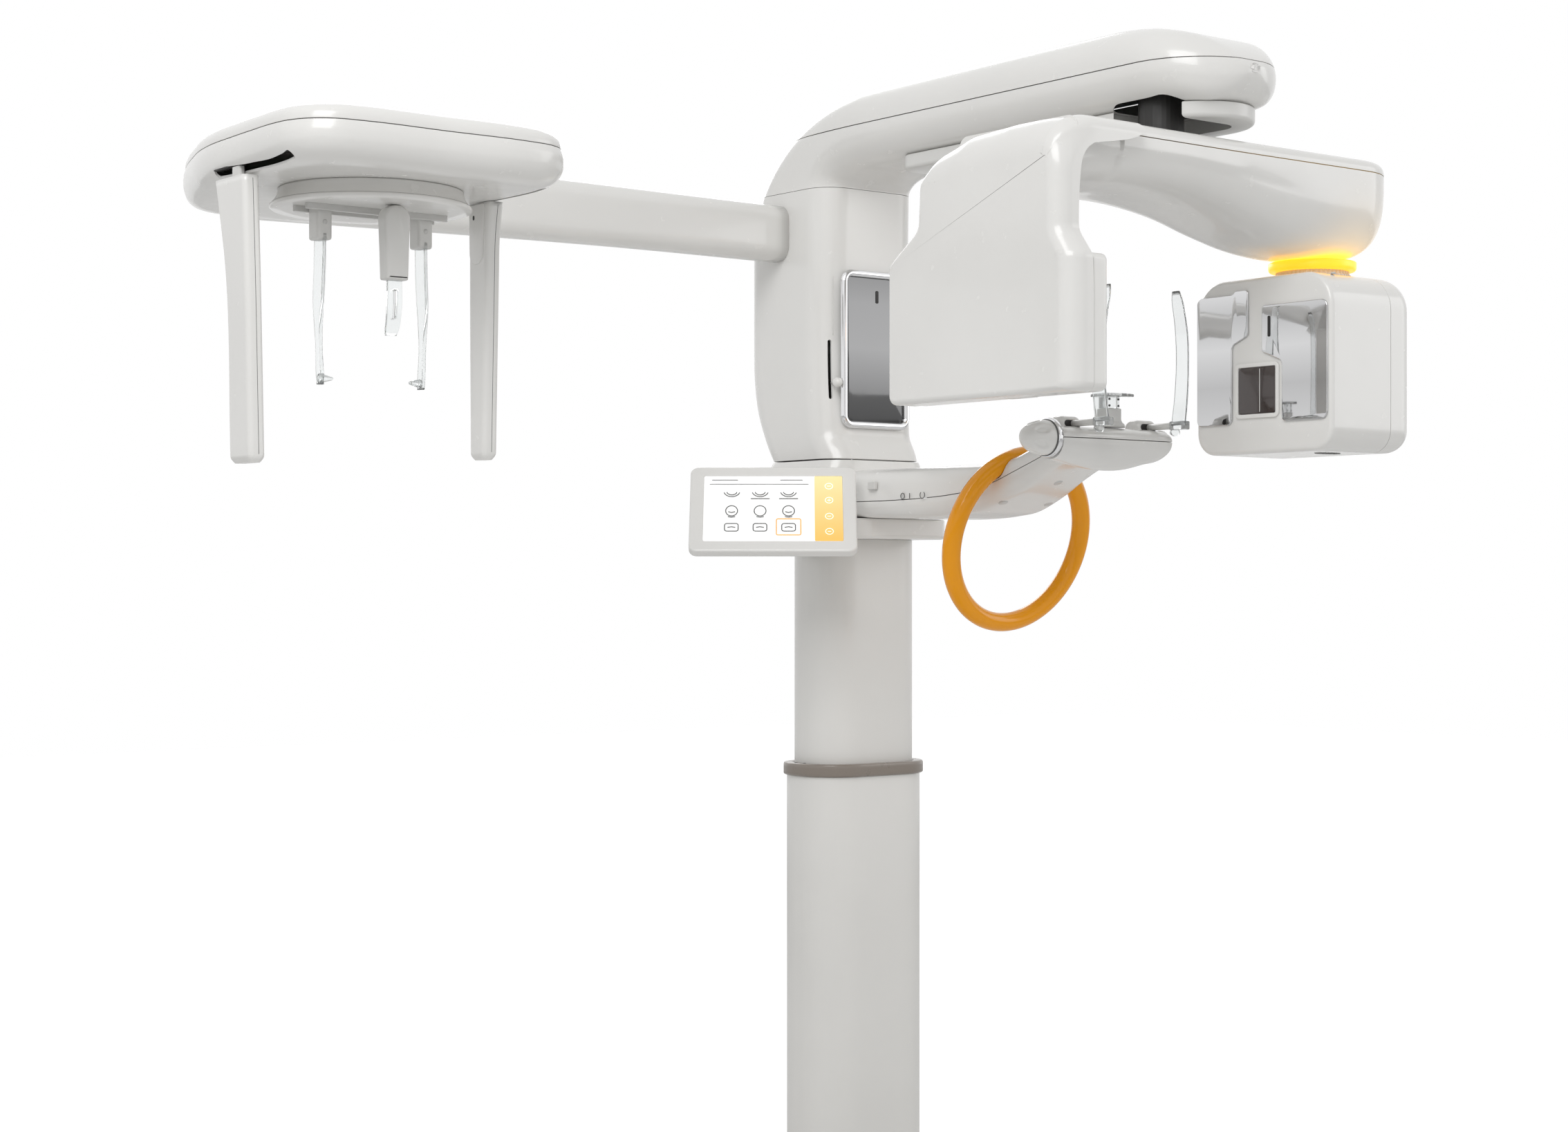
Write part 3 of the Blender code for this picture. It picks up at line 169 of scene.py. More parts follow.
def skin(name, grid, around=True, along=False, capFirst=False, capLast=False):
    # quads between neighbouring rows and columns, turned so that they face away from the rows' middles
    rows, cols = grid.shape[:2]
    r, c = np.meshgrid(np.arange(rows if along else rows - 1), np.arange(cols if around else cols - 1),
                       indexing="ij")
    nextR, nextC = (r + 1) % rows, (c + 1) % cols
    quads = np.stack([r * cols + c, r * cols + nextC, nextR * cols + nextC, nextR * cols + c], -1)
    quads = quads.reshape(-1, 4)
    points = grid.reshape(-1, 3)
    corner = points[quads]
    normal = np.cross(corner[:, 2] - corner[:, 0], corner[:, 3] - corner[:, 1])
    middles = grid.mean(1)
    if along:
        centre = middles[r.reshape(-1)]
    else:
        centre = (middles[r.reshape(-1)] + middles[nextR.reshape(-1)]) / 2
    volume = np.einsum("ij,ij->i", corner.mean(1) - centre, normal).sum()
    faces = quads.tolist()
    if capFirst:
        faces.append(list(range(cols))[::-1])
    if capLast:
        faces.append(list(range((rows - 1) * cols, rows * cols)))
    if volume < 0:
        faces = [face[::-1] for face in faces]
    mesh = bpy.data.meshes.new(name)
    mesh.from_pydata(points.tolist(), [], faces)
    mesh.validate()
    mesh.shade_smooth()
    return mesh


def capped(name, grid):
    # a skin closed by a flat face at each end
    return skin(name, grid, capFirst=True, capLast=True)


def piece(name, mesh, body, finish, replaced=(), sharp=None):
    # a finished mesh as an object that rides on a body and takes a finish
    if sharp:
        mesh.set_sharp_from_angle(angle=math.radians(sharp))
    obj = bpy.data.objects.new(name, mesh)
    bpy.context.scene.collection.objects.link(obj)
    mesh.materials.clear()
    mesh.materials.append(finish)
    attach(obj, body)
    if replaced:
        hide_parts(*replaced)
    return obj


def closedPiece(name, grid, body, finish, replaced=(), sharp=None):
    # a piece whose skin is closed at both ends
    return piece(name, capped(name, grid), body, finish, replaced, sharp)


def ringPiece(name, grid, body, finish, replaced=(), sharp=None):
    # a piece whose skin's last row joins its first, such as a hollow ring
    return piece(name, skin(name, grid, along=True), body, finish, replaced, sharp)


def joined(name, meshes):
    # several meshes as one
    work = bmesh.new()
    for mesh in meshes:
        work.from_mesh(mesh)
    result = bpy.data.meshes.new(name)
    work.to_mesh(result)
    work.free()
    result.shade_smooth()
    return result


def soften(obj, width):
    # rounds the edges sharper than 40 degrees
    bevel = obj.modifiers.new("rounds", "BEVEL")
    bevel.width = width
    bevel.segments = 2
    bevel.limit_method = "ANGLE"
    bevel.angle_limit = math.radians(40)
    bevel.harden_normals = True


def baked(obj):
    # the object's modifiers made part of its mesh
    bpy.context.view_layer.update()
    evaluated = obj.evaluated_get(bpy.context.evaluated_depsgraph_get())
    mesh = bpy.data.meshes.new_from_object(evaluated, preserve_all_data_layers=True,
                                           depsgraph=bpy.context.evaluated_depsgraph_get())
    obj.modifiers.clear()
    obj.data = mesh


def cutBy(obj, meshes):
    # slots and holes: each mesh is taken out of the object
    for mesh in meshes:
        tool = bpy.data.objects.new("tool", mesh)
        bpy.context.scene.collection.objects.link(tool)
        cut = obj.modifiers.new("cut", "BOOLEAN")
        cut.solver = "EXACT"
        cut.object = tool
        baked(obj)
        bpy.data.objects.remove(tool)


def walled(obj, thickness, rim=0.0006, cuts=()):
    # an open skin given a wall on its inner side, cut where asked, with small rounds along its rims
    wall = obj.modifiers.new("wall", "SOLIDIFY")
    wall.thickness = thickness
    wall.offset = -1
    if cuts:
        baked(obj)
        cutBy(obj, cuts)
    soften(obj, rim)


def keptSide(mesh, place, normal):
    # the part of a mesh on the side of a plane that the normal points to
    work = bmesh.new()
    work.from_mesh(mesh)
    parts = work.verts[:] + work.edges[:] + work.faces[:]
    bmesh.ops.bisect_plane(work, geom=parts, plane_co=place, plane_no=normal, clear_inner=True, dist=1e-7)
    work.to_mesh(mesh)
    work.free()
    return mesh


# Finishes. Each is a node material on Object coordinates.

def newFinish(name, colour, rough, metallic=0.0, coat=0.0):
    # a shader with its constants set on its own sockets
    finish = bpy.data.materials.new(name)
    finish.use_nodes = True
    shader = finish.node_tree.nodes["Principled BSDF"]
    shader.inputs["Base Color"].default_value = (*colour, 1)
    shader.inputs["Roughness"].default_value = rough
    shader.inputs["Metallic"].default_value = metallic
    shader.inputs["Coat Weight"].default_value = coat
    shader.inputs["Coat Roughness"].default_value = 0.06
    return finish, finish.node_tree, shader


def objectNoise(tree, scale, detail=3.0, stretch=(1, 1, 1)):
    # noise on the piece's own coordinates, stretched by a Mapping node
    place = tree.nodes.new("ShaderNodeTexCoord")
    mapping = tree.nodes.new("ShaderNodeMapping")
    mapping.inputs["Scale"].default_value = stretch
    noise = tree.nodes.new("ShaderNodeTexNoise")
    noise.inputs["Scale"].default_value = scale
    noise.inputs["Detail"].default_value = detail
    tree.links.new(place.outputs["Object"], mapping.inputs["Vector"])
    tree.links.new(mapping.outputs["Vector"], noise.inputs["Vector"])
    return noise


def spread(tree, source, low, high):
    # a texture's 0 to 1 spread between two numbers
    reach = tree.nodes.new("ShaderNodeMapRange")
    reach.inputs["From Min"].default_value = 0.3
    reach.inputs["From Max"].default_value = 0.7
    reach.inputs["To Min"].default_value = low
    reach.inputs["To Max"].default_value = high
    tree.links.new(source, reach.inputs["Value"])
    return reach.outputs["Result"]


def tinted(tree, factor, first, second):
    # one colour mixed into another by a factor
    mix = tree.nodes.new("ShaderNodeMix")
    mix.data_type = "RGBA"
    mix.inputs["A"].default_value = (*first, 1)
    mix.inputs["B"].default_value = (*second, 1)
    tree.links.new(factor, mix.inputs["Factor"])
    return mix.outputs["Result"]


def bumped(tree, shader, source, strength, depth):
    # small relief from a texture
    bump = tree.nodes.new("ShaderNodeBump")
    bump.inputs["Strength"].default_value = strength
    bump.inputs["Distance"].default_value = depth
    tree.links.new(source, bump.inputs["Height"])
    tree.links.new(bump.outputs["Normal"], shader.inputs["Normal"])


def moulded(name, colour, rough, coat, grain=900.0, relief=0.0):
    # moulded or painted plastic: slow drift of colour, uneven gloss and, where wanted, a fine skin
    finish, tree, shader = newFinish(name, colour, rough, 0.0, coat)
    drift = objectNoise(tree, 5.0, 4.0)
    darker = tuple(channel * 0.965 for channel in colour)
    tree.links.new(tinted(tree, spread(tree, drift.outputs["Fac"], 0, 1), darker, colour),
                   shader.inputs["Base Color"])
    gloss = objectNoise(tree, 38.0, 5.0)
    tree.links.new(spread(tree, gloss.outputs["Fac"], rough * 0.88, rough * 1.15),
                   shader.inputs["Roughness"])
    if relief:
        fine = objectNoise(tree, grain, 2.0)
        bumped(tree, shader, fine.outputs["Fac"], relief, 0.0002)
    return finish


def metalFinish(name, colour, rough, stretch=(1, 1, 1), scale=60.0, relief=0.08):
    # bare or plated metal, its brush marks drawn out along one direction
    finish, tree, shader = newFinish(name, colour, rough, 1.0)
    marks = objectNoise(tree, scale, 6.0, stretch)
    tree.links.new(spread(tree, marks.outputs["Fac"], rough * 0.75, rough * 1.3),
                   shader.inputs["Roughness"])
    tree.links.new(tinted(tree, spread(tree, marks.outputs["Fac"], 0, 1),
                          tuple(channel * 0.93 for channel in colour), colour),
                   shader.inputs["Base Color"])
    bumped(tree, shader, marks.outputs["Fac"], relief, 0.0001)
    return finish


def mirrorWithPaintedReflection(name, axis, stops):
    # mirror with painted reflection: its grey runs through (place, grey) stops along one axis, standing in
    # for what the mirror reflects, with a faint haze
    rough = 0.03
    finish, tree, shader = newFinish(name, (0.7, 0.7, 0.7), rough, 1.0)
    place = tree.nodes.new("ShaderNodeTexCoord")
    split = tree.nodes.new("ShaderNodeSeparateXYZ")
    tree.links.new(place.outputs["Object"], split.inputs["Vector"])
    reach = tree.nodes.new("ShaderNodeMapRange")
    first, last = stops[0][0], stops[-1][0]
    reach.inputs["From Min"].default_value = first
    reach.inputs["From Max"].default_value = last
    tree.links.new(split.outputs["XYZ"[axis]], reach.inputs["Value"])
    ramp = tree.nodes.new("ShaderNodeValToRGB")
    elements = ramp.color_ramp.elements
    while len(elements) < len(stops):
        elements.new(0.5)
    for element, (spot, grey) in zip(elements, stops):
        element.position = (spot - first) / (last - first)
        element.color = (grey, grey, grey * 1.01, 1)
    tree.links.new(reach.outputs["Result"], ramp.inputs["Fac"])
    tree.links.new(ramp.outputs["Color"], shader.inputs["Base Color"])
    haze = objectNoise(tree, 25.0, 3.0)
    tree.links.new(spread(tree, haze.outputs["Fac"], rough, rough * 2), shader.inputs["Roughness"])
    return finish


def clearPlastic(name, colour):
    # polished acrylic that light passes through, with faint flow marks
    rough = 0.04
    finish, tree, shader = newFinish(name, colour, rough)
    shader.inputs["Transmission Weight"].default_value = 0.92
    shader.inputs["IOR"].default_value = 1.49
    flow = objectNoise(tree, 55.0, 3.0, (1, 1, 0.3))
    tree.links.new(spread(tree, flow.outputs["Fac"], rough * 0.6, rough * 1.8),
                   shader.inputs["Roughness"])
    bumped(tree, shader, flow.outputs["Fac"], 0.03, 0.0004)
    return finish


def litPlastic(name, colour, strength, rough=0.3):
    # plastic lit from inside, a little uneven
    finish, tree, shader = newFinish(name, colour, rough)
    drift = objectNoise(tree, 30.0, 2.0)
    tree.links.new(tinted(tree, spread(tree, drift.outputs["Fac"], 0, 1),
                          tuple(channel * 0.92 for channel in colour), colour),
                   shader.inputs["Emission Color"])
    shader.inputs["Emission Strength"].default_value = strength
    return finish


def paintedGlow(name, base, place, reach, colour, strength):
    # copy of a finish with painted light: emission that dies away as the cube of the distance from a place,
    # standing in for a nearby lamp's light on the surface
    finish = base.copy()
    finish.name = name
    tree = finish.node_tree
    shader = tree.nodes["Principled BSDF"]
    coordinates = tree.nodes.new("ShaderNodeTexCoord")
    away = tree.nodes.new("ShaderNodeVectorMath")
    away.operation = "DISTANCE"
    away.inputs[1].default_value = place
    tree.links.new(coordinates.outputs["Object"], away.inputs[0])
    fade = tree.nodes.new("ShaderNodeMapRange")
    fade.inputs["From Min"].default_value = reach[0]
    fade.inputs["From Max"].default_value = reach[1]
    fade.inputs["To Min"].default_value = 1.0
    fade.inputs["To Max"].default_value = 0.0
    tree.links.new(away.outputs["Value"], fade.inputs["Value"])
    cube = tree.nodes.new("ShaderNodeMath")
    cube.operation = "POWER"
    cube.inputs[1].default_value = 3.0
    tree.links.new(fade.outputs["Result"], cube.inputs[0])
    level = tree.nodes.new("ShaderNodeMath")
    level.operation = "MULTIPLY"
    level.inputs[1].default_value = strength
    tree.links.new(cube.outputs["Value"], level.inputs[0])
    tree.links.new(level.outputs["Value"], shader.inputs["Emission Strength"])
    shader.inputs["Emission Color"].default_value = (*colour, 1)
    return finish


shellWhite = moulded("shellWhite", (0.80, 0.792, 0.770), 0.24, 0.35)
columnWhite = moulded("columnWhite", (0.770, 0.760, 0.735), 0.34, 0.15)
panelGrey = moulded("panelGrey", (0.60, 0.595, 0.58), 0.38, 0.1)
lightGrey = moulded("lightGrey", (0.69, 0.685, 0.665), 0.32, 0.2)
darkGrey = moulded("darkGrey", (0.10, 0.10, 0.10), 0.40, 0.1)
slotBlack = moulded("slotBlack", (0.018, 0.017, 0.016), 0.5, 0.0)
taupeTrim = moulded("taupeTrim", (0.235, 0.200, 0.170), 0.30, 0.3)
amberGloss = moulded("amberGloss", (0.93, 0.36, 0.0), 0.14, 0.25)
amberGloss.node_tree.nodes["Principled BSDF"].inputs["Specular IOR Level"].default_value = 0.25
redButton = moulded("redButton", (0.55, 0.02, 0.015), 0.28, 0.3)
windowDark = moulded("windowDark", (0.030, 0.017, 0.014), 0.12, 0.6)
floorSteel = moulded("floorSteel", (0.62, 0.615, 0.60), 0.42, 0.1, 300.0, 0.25)
chromePlate = metalFinish("chromePlate", (0.80, 0.80, 0.81), 0.07, scale=20.0, relief=0.01)
brushedMetal = metalFinish("brushedMetal", (0.66, 0.67, 0.69), 0.32, (1, 1, 0.04))
machinedSteel = metalFinish("machinedSteel", (0.44, 0.45, 0.47), 0.36, (0.05, 1, 1))
clearAcrylic = clearPlastic("clearAcrylic", (0.93, 0.95, 0.95))
amberLight = litPlastic("amberLight", (1.0, 0.50, 0.02), 1.0)
# painted light on the beam's underside: amber emission fading with distance from the neck ring stands in for
# the ring's light falling on the white shell
paintedRingLight = paintedGlow("paintedRingLight", shellWhite, (0.30, -0.80, 1.715), (0.06, 0.21), (1.0, 0.58, 0.06), 0.60)
displayWhite = litPlastic("displayWhite", (0.97, 0.975, 0.97), 0.25, 0.08)
print("finishes ready")


# Column and floor plate

columnLook = {
    "corner": 0.070,
    "innerCorner": 0.060,
    "wall": 0.004,
    "edge": 0.0008,
    "screw": 0.0032,
    "screwSpread": 0.012,
    "plateCorner": 0.06,
    "capInset": 0.055,
    "skirtHalf": (0.1258, 0.0808),
    "skirtFlare": 0.030,
}


def makeColumn():
    # rounded oblong tubes one inside the other, a trim ring between them and a plate beneath
    wall, edge = columnLook["wall"], columnLook["edge"]
    low, high = boxOf("column_outer")
    outline = rectangle(high[0], high[1], columnLook["corner"])
    ringPiece("columnOuter", slab(outline, ringProfile(low[2], high[2], wall, edge)), "stand",
              columnWhite, ["column_outer"])

    low, high = boxOf("column_inner")
    outline = rectangle(high[0], high[1], columnLook["innerCorner"])
    ringPiece("columnInner", slab(outline, ringProfile(low[2], high[2], wall, edge)), "lift",
              columnWhite, ["column_inner"])
    innerHalf = high[0]

    low, high = boxOf("column_ring")
    outline = rectangle(high[0], high[1], columnLook["corner"] + 0.006)
    wall = high[0] - innerHalf - 0.0015
    ringPiece("columnRing", slab(outline, ringProfile(low[2], high[2], wall, 0.0035)), "stand",
              taupeTrim, ["column_ring"])
    across = high[0] - wall / 2
    screws = []
    profile = [(0.0004, high[2] + 0.0011), (0.0022, high[2] + 0.0010),
               (columnLook["screw"], high[2] + 0.0004), (columnLook["screw"], high[2] - 0.002)]
    for side in (-1, 1):
        for forth in (-1, 1):
            place = (side * across, forth * columnLook["screwSpread"], 0)
            screws.append(capped("screw", spun(profile, place, 2, 16)))
    piece("ringScrews", joined("ringScrews", screws), "stand", darkGrey)

    low, high = boxOf("base_plate")
    centre = (low + high) / 2
    half = (high - low) / 2
    outline = rectangle(half[0], half[1], columnLook["plateCorner"], centre[:2])
    closedPiece("floorPlate", slab(outline, rims(low[2], high[2], 0.001, 0.004)), "stand", floorSteel,
                ["base_plate"])
    bolts = []
    beside = columnLook["capInset"]
    cap = [(0.001, high[2] + 0.0042), (0.010, high[2] + 0.0040), (0.0145, high[2] + 0.0022),
           (0.0160, high[2] + 0.0002), (0.0160, high[2] - 0.001)]
    for x in (low[0] + beside, high[0] - beside):
        for y in (low[1] + beside, high[1] - beside):
            bolts.append(capped("bolt", spun(cap, (x, y, 0), 2, 28)))
    piece("plateCaps", joined("plateCaps", bolts), "stand", panelGrey)

    low, high = boxOf("base_cover")
    outline = rectangle(*columnLook["skirtHalf"], columnLook["corner"])
    flare = columnLook["skirtFlare"]
    rise = np.linspace(0, 1, 12)
    outer = np.stack([-flare * (1 - rise) ** 2.2 - 0.006, low[2] + (high[2] - low[2]) * rise], 1)
    inner = np.array([(-0.003, high[2]), (0.0, high[2] - 0.002), (0.0, low[2])])
    ringPiece("baseSkirt", slab(outline, np.concatenate([outer, inner])), "stand", shellWhite,
              ["base_cover"], 50)
    for node, finish in (("lift_actuator", brushedMetal), ("actuator_rod", machinedSteel)):
        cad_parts[node].data.materials[0] = finish


makeColumn()
print("column made")


# Carriage and upper arm: one form that rises and bends forward

armLook = {
    "front": -0.055,
    "frontFoot": [(1.420, -0.083), (1.440, -0.073), (1.465, -0.058), (1.490, -0.055), (1.91, -0.055)],
    "back": [(1.420, 0.126), (1.460, 0.146), (1.510, 0.168), (1.570, 0.180), (1.640, 0.182),
             (1.720, 0.182), (1.800, 0.182)],
    "halfX": 0.110,
    "armHalfX": 0.125,
    "corner": 0.050,
    "bendCentre": (-0.160, 1.800),
    "bendRadii": (0.342, 0.255),
    "split": 1.900,
    "seam": 1.990,
    "underside": 1.930,
    "top": 2.055,
    "noseY": -0.816,
    "noseRadius": 0.130,
    "noseRounds": (0.050, 0.075),
    "noseLift": 0.052,
    "noseDrop": 0.030,
    "droop": (0.050, -0.730, 0.216),
    "gap": 0.0008,
    "wall": 0.003,
    "innerRadius": 0.0297,
    "knobSlot": ((0.003, 0.052, 0.0028), (-0.0873, 1.581)),
    "shaftHole": ((0.076, 0.071, 0.034), (-0.025, -0.80)),
}
arcSteps, sideSteps = 10, 8
cornerSpan = arcSteps + sideSteps


def sectionRows(inner, outer, half, corner):
    # rounded oblongs, each standing between an inner and an outer point of the Y-Z plane
    rows = []
    for low, high, reach, radius in zip(inner, outer, half, corner):
        up = (high - low) / np.linalg.norm(high - low)
        middle = (low + high) / 2
        outline = rectangle(reach, np.linalg.norm(high - low) / 2, radius, (0, 0), arcSteps, sideSteps)
        place = middle + outline[:, 1:] * up
        rows.append(np.concatenate([outline[:, :1], place], 1))
    return np.array(rows)


def armBack(z):
    # the back leans over into the upper arm on a quarter ellipse above the bend's centre
    straight = glide(armLook["back"], z)
    (y0, z0), (ry, rz) = armLook["bendCentre"], armLook["bendRadii"]
    rise = np.clip((z - z0) / rz, 0, 1)
    return np.where(z > z0, y0 + ry * np.sqrt(1 - rise**2), straight)


def trunkRows():
    # level sections up the carriage
    z = np.concatenate([np.linspace(1.4237, 1.52, 16), np.linspace(1.53, armLook["split"] - 0.0004, 26)])
    front, back = glide(armLook["frontFoot"], z), armBack(z)
    half = np.full(len(z), armLook["halfX"])
    half -= 0.004 * np.clip((1.47 - z) / 0.05, 0, 1) ** 2
    corner = np.full(len(z), armLook["corner"])
    return sectionRows(np.stack([front, z], 1), np.stack([back, z], 1), half, corner)


def armRows():
    # sections that fan from level to upright round the bend, then run forward to a round nose
    (y0, z0), (ry, rz) = armLook["bendCentre"], armLook["bendRadii"]
    split = armLook["split"] + 0.0004
    share = np.linspace(0, 1, 26)
    start = math.asin((split - z0) / rz)
    angle = start + (math.pi / 2 - start) * share
    outer = np.stack([y0 + ry * np.cos(angle), z0 + rz * np.sin(angle)], 1)
    turn = math.pi / 2 * share
    radius = armLook["innerRadius"]
    inner = np.stack([armLook["front"] - radius + radius * np.cos(turn) - 0.075 * share**2,
                      split + radius * np.sin(turn)], 1)
    half = armLook["halfX"] + (armLook["armHalfX"] - armLook["halfX"]) * (3 * share**2 - 2 * share**3)
    corner = armLook["corner"] + 0.004 * share

    y = np.concatenate([np.linspace(-0.20, armLook["noseY"], 26)[1:],
                        armLook["noseY"] - armLook["noseRadius"] * np.sin(np.linspace(0.04, 1.535, 26))])
    past = np.clip((armLook["noseY"] - y) / armLook["noseRadius"], 0, 1)
    halfRun = np.maximum(armLook["armHalfX"] * np.sqrt(1 - past**2), 0.004)
    tip = armLook["noseRadius"] * (1 - past)
    lowRound, highRound = [np.sqrt(np.clip(1 - (1 - np.clip(tip / depth, 0, 1)) ** 2, 0, 1))
                           for depth in armLook["noseRounds"]]
    fall, fallStart, fallLength = armLook["droop"]
    droop = fall * np.clip((fallStart - y) / fallLength, 0, 1) ** 2.2
    under = armLook["underside"] + armLook["noseLift"] * (1 - lowRound)
    over = armLook["top"] - droop - armLook["noseDrop"] * (1 - highRound)
    radii = np.minimum(0.054, np.minimum(halfRun, (over - under) / 2) * 0.97)
    run = sectionRows(np.stack([y, under], 1), np.stack([y, over], 1), halfRun, radii)
    bend = sectionRows(inner, outer, half, corner)
    return np.concatenate([bend, run])


def openStrip(grid, first, last, trim):
    # the columns from first to last of a closed skin, pulled back from both cut edges
    count = grid.shape[1]
    columns = [i % count for i in range(first, last + 1)]
    strip = grid[:, columns].copy()
    for edge, beside in ((0, 1), (-1, -2)):
        step = strip[:, beside] - strip[:, edge]
        length = np.linalg.norm(step, axis=1, keepdims=True)
        strip[:, edge] += step / length * np.minimum(trim, length * 0.8)
    return strip


def makeCarriage():
    # the trunk's skin split into a rear and a front shell, with the block and the ledge beneath
    gap, wall = armLook["gap"], armLook["wall"]
    grid = trunkRows()
    middle = arcSteps // 2
    rear = skin("carriageRear", openStrip(grid, middle, cornerSpan + middle, gap), around=False)
    walled(piece("carriageRear", rear, "lift", shellWhite, ["carriage_rear_cover"]), wall)
    strip = openStrip(grid, cornerSpan + middle, 4 * cornerSpan + middle, gap)
    front = piece("carriageFront", skin("carriageFront", strip, around=False), "lift", shellWhite,
                  ["carriage_front_cover"])
    size, place = armLook["knobSlot"]
    slot = slab(rectangle(*size, place, 6, 3), [(0, -0.09), (0, -0.02)], 1)
    walled(front, wall, cuts=[capped("slot", slot)])

    low, high = boxOf("carriage_block")
    share = np.linspace(0, 1, 14)
    z = low[2] + (high[2] - low[2]) * share
    half = glide([(0, 0.112), (0.12, 0.1165), (0.35, 0.118), (0.7, 0.1175), (0.9, 0.114), (1, 0.109)], share)
    back = glide([(0, 0.120), (0.12, 0.124), (0.4, 0.127), (0.8, 0.128), (1, 0.126)], share)
    front = glide([(0, -0.078), (0.2, -0.082), (1, -0.082)], share)
    rows = sectionRows(np.stack([front, z], 1), np.stack([back, z], 1), half, np.full(len(z), 0.048))
    closedPiece("carriageBlock", rows, "lift", shellWhite, ["carriage_block"], 50)

    low, high = boxOf("column_collar")
    half, middleY = high[0], (low[1] + high[1]) / 2
    outline = rectangle(half, (high[1] - low[1]) / 2, 0.045, (0, middleY))
    closedPiece("columnLedge", slab(outline, rims(low[2], high[2], 0.006, 0.003)), "lift", shellWhite,
                ["column_collar"])


def makeArm():
    # the arm's skin split at a level seam and cut for the shaft, over a plate with a round nose
    gap, wall, seam = armLook["gap"], armLook["wall"], armLook["seam"]
    grid = armRows()
    top = keptSide(skin("armTop", grid, capLast=True), (0, 0, seam + gap), (0, 0, 1))
    walled(piece("armTop", top, "lift", shellWhite, ["arm_top_cover"]), wall)
    under = keptSide(skin("armUnder", grid, capLast=True), (0, 0, seam - gap), (0, 0, -1))
    lower = piece("armUnder", under, "lift", shellWhite, ["arm_bottom_cover"])
    size, place = armLook["shaftHole"]
    hole = slab(rectangle(*size, place), [(0, 1.86), (0, 1.96)])
    walled(lower, wall, cuts=[capped("hole", hole)])

    low, high = boxOf("arm_underplate")
    half, back = high[0], high[1]
    front = armLook["noseY"]
    turn = np.linspace(0, math.pi, 33)
    nose = np.stack([half * np.cos(turn), front - 0.100 * np.sin(turn)], 1)[::-1]
    tail = rectangle(half, (back - front) / 2, 0.035, (0, (back + front) / 2), 8, 4)
    tailCorners = tail[:len(tail) // 2]
    outline = np.concatenate([tailCorners, nose])
    plate = closedPiece("armPlate", slab(outline, rims(low[2], high[2], 0.006, 0.002)), "lift", lightGrey,
                        ["arm_underplate"], 60)
    cutBy(plate, [capped("hole", hole)])
    soften(plate, 0.0008)


makeCarriage()
makeArm()
print("carriage and arm made")


# Mirror on the carriage and the light line's knob

mirrorLook = {"frame": 0.0065, "corner": 0.016, "slot": (0.0035, 0.011)}


def makeMirror():
    # a round bar bent to an oblong, a mirror plate with painted reflection inside it and a dark sight slot
    low, high = boxOf("mirror_frame")
    half = (high[0] - low[0]) / 2
    middle, reach = (low[2] + high[2]) / 2, (high[2] - low[2]) / 2
    radius = mirrorLook["frame"]
    outline = rectangle(half - radius, reach - radius, mirrorLook["corner"], (0, middle), 10, 4)
    path = np.stack([outline[:, 0], np.full(len(outline), high[1] - radius * 0.75), outline[:, 1]], 1)
    grid = tubeAlong(path, radius, 14, True, (0, 1, 0))
    ringPiece("mirrorFrame", grid, "lift", chromePlate, ["mirror_frame"])
    plate = rectangle(half - radius * 1.3, reach - radius * 1.3, mirrorLook["corner"] - 0.003, (0, middle))
    front = low[1] + 0.0035
    closedPiece("mirrorPlate", slab(plate, rims(front, front + 0.003, 0.0008), 1), "lift", carriageMirrorPaintedReflection,
                ["mirror_glass"])
    width, tall = mirrorLook["slot"]
    sight = rectangle(width, tall, width * 0.6, (0.004, high[2] - 0.045))
    closedPiece("sightSlot", slab(sight, rims(front - 0.0006, front + 0.001, 0.0004), 1), "lift",
                slotBlack)

    low, high = boxOf("laser_knob")
    x, z = (low[0] + high[0]) / 2, (low[2] + high[2]) / 2
    rise = np.linspace(0, math.pi / 2, 10)
    dome = np.stack([0.0088 * np.cos(rise) ** 0.9, high[1] - 0.014 - 0.0122 * np.sin(rise)], 1)
    dome[-1, 0] = 0.0004
    stem = np.array([(0.0022, high[1]), (0.0022, high[1] - 0.012), (0.0084, high[1] - 0.0125)])
    closedPiece("laserKnob", spun(np.concatenate([stem, dome]), (x, 0, z), 1, 32), "laser_slider",
                shellWhite, ["laser_knob"])
    bead = np.stack([np.full(24, x - 0.0052), np.full(24, -0.0556), np.linspace(1.640, 1.742, 24)], 1)
    size = 0.0013 * np.sin(np.linspace(0.05, math.pi - 0.05, 24)) ** 0.2
    closedPiece("sightBead", tubeAlong(bead, size, 8, False, (0, 1, 0)), "lift", lightGrey)


# painted reflection: dark greys that rise and fall with height stand in for what the carriage mirror
# reflects
carriageMirrorPaintedReflection = mirrorWithPaintedReflection("carriageMirrorPaintedReflection", 2, [(1.478, 0.08), (1.54, 0.11), (1.62, 0.17), (1.70, 0.16),
                                                 (1.757, 0.12)])
makeMirror()
print("mirror made")


# Gantry: detector housing, beam and neck ring

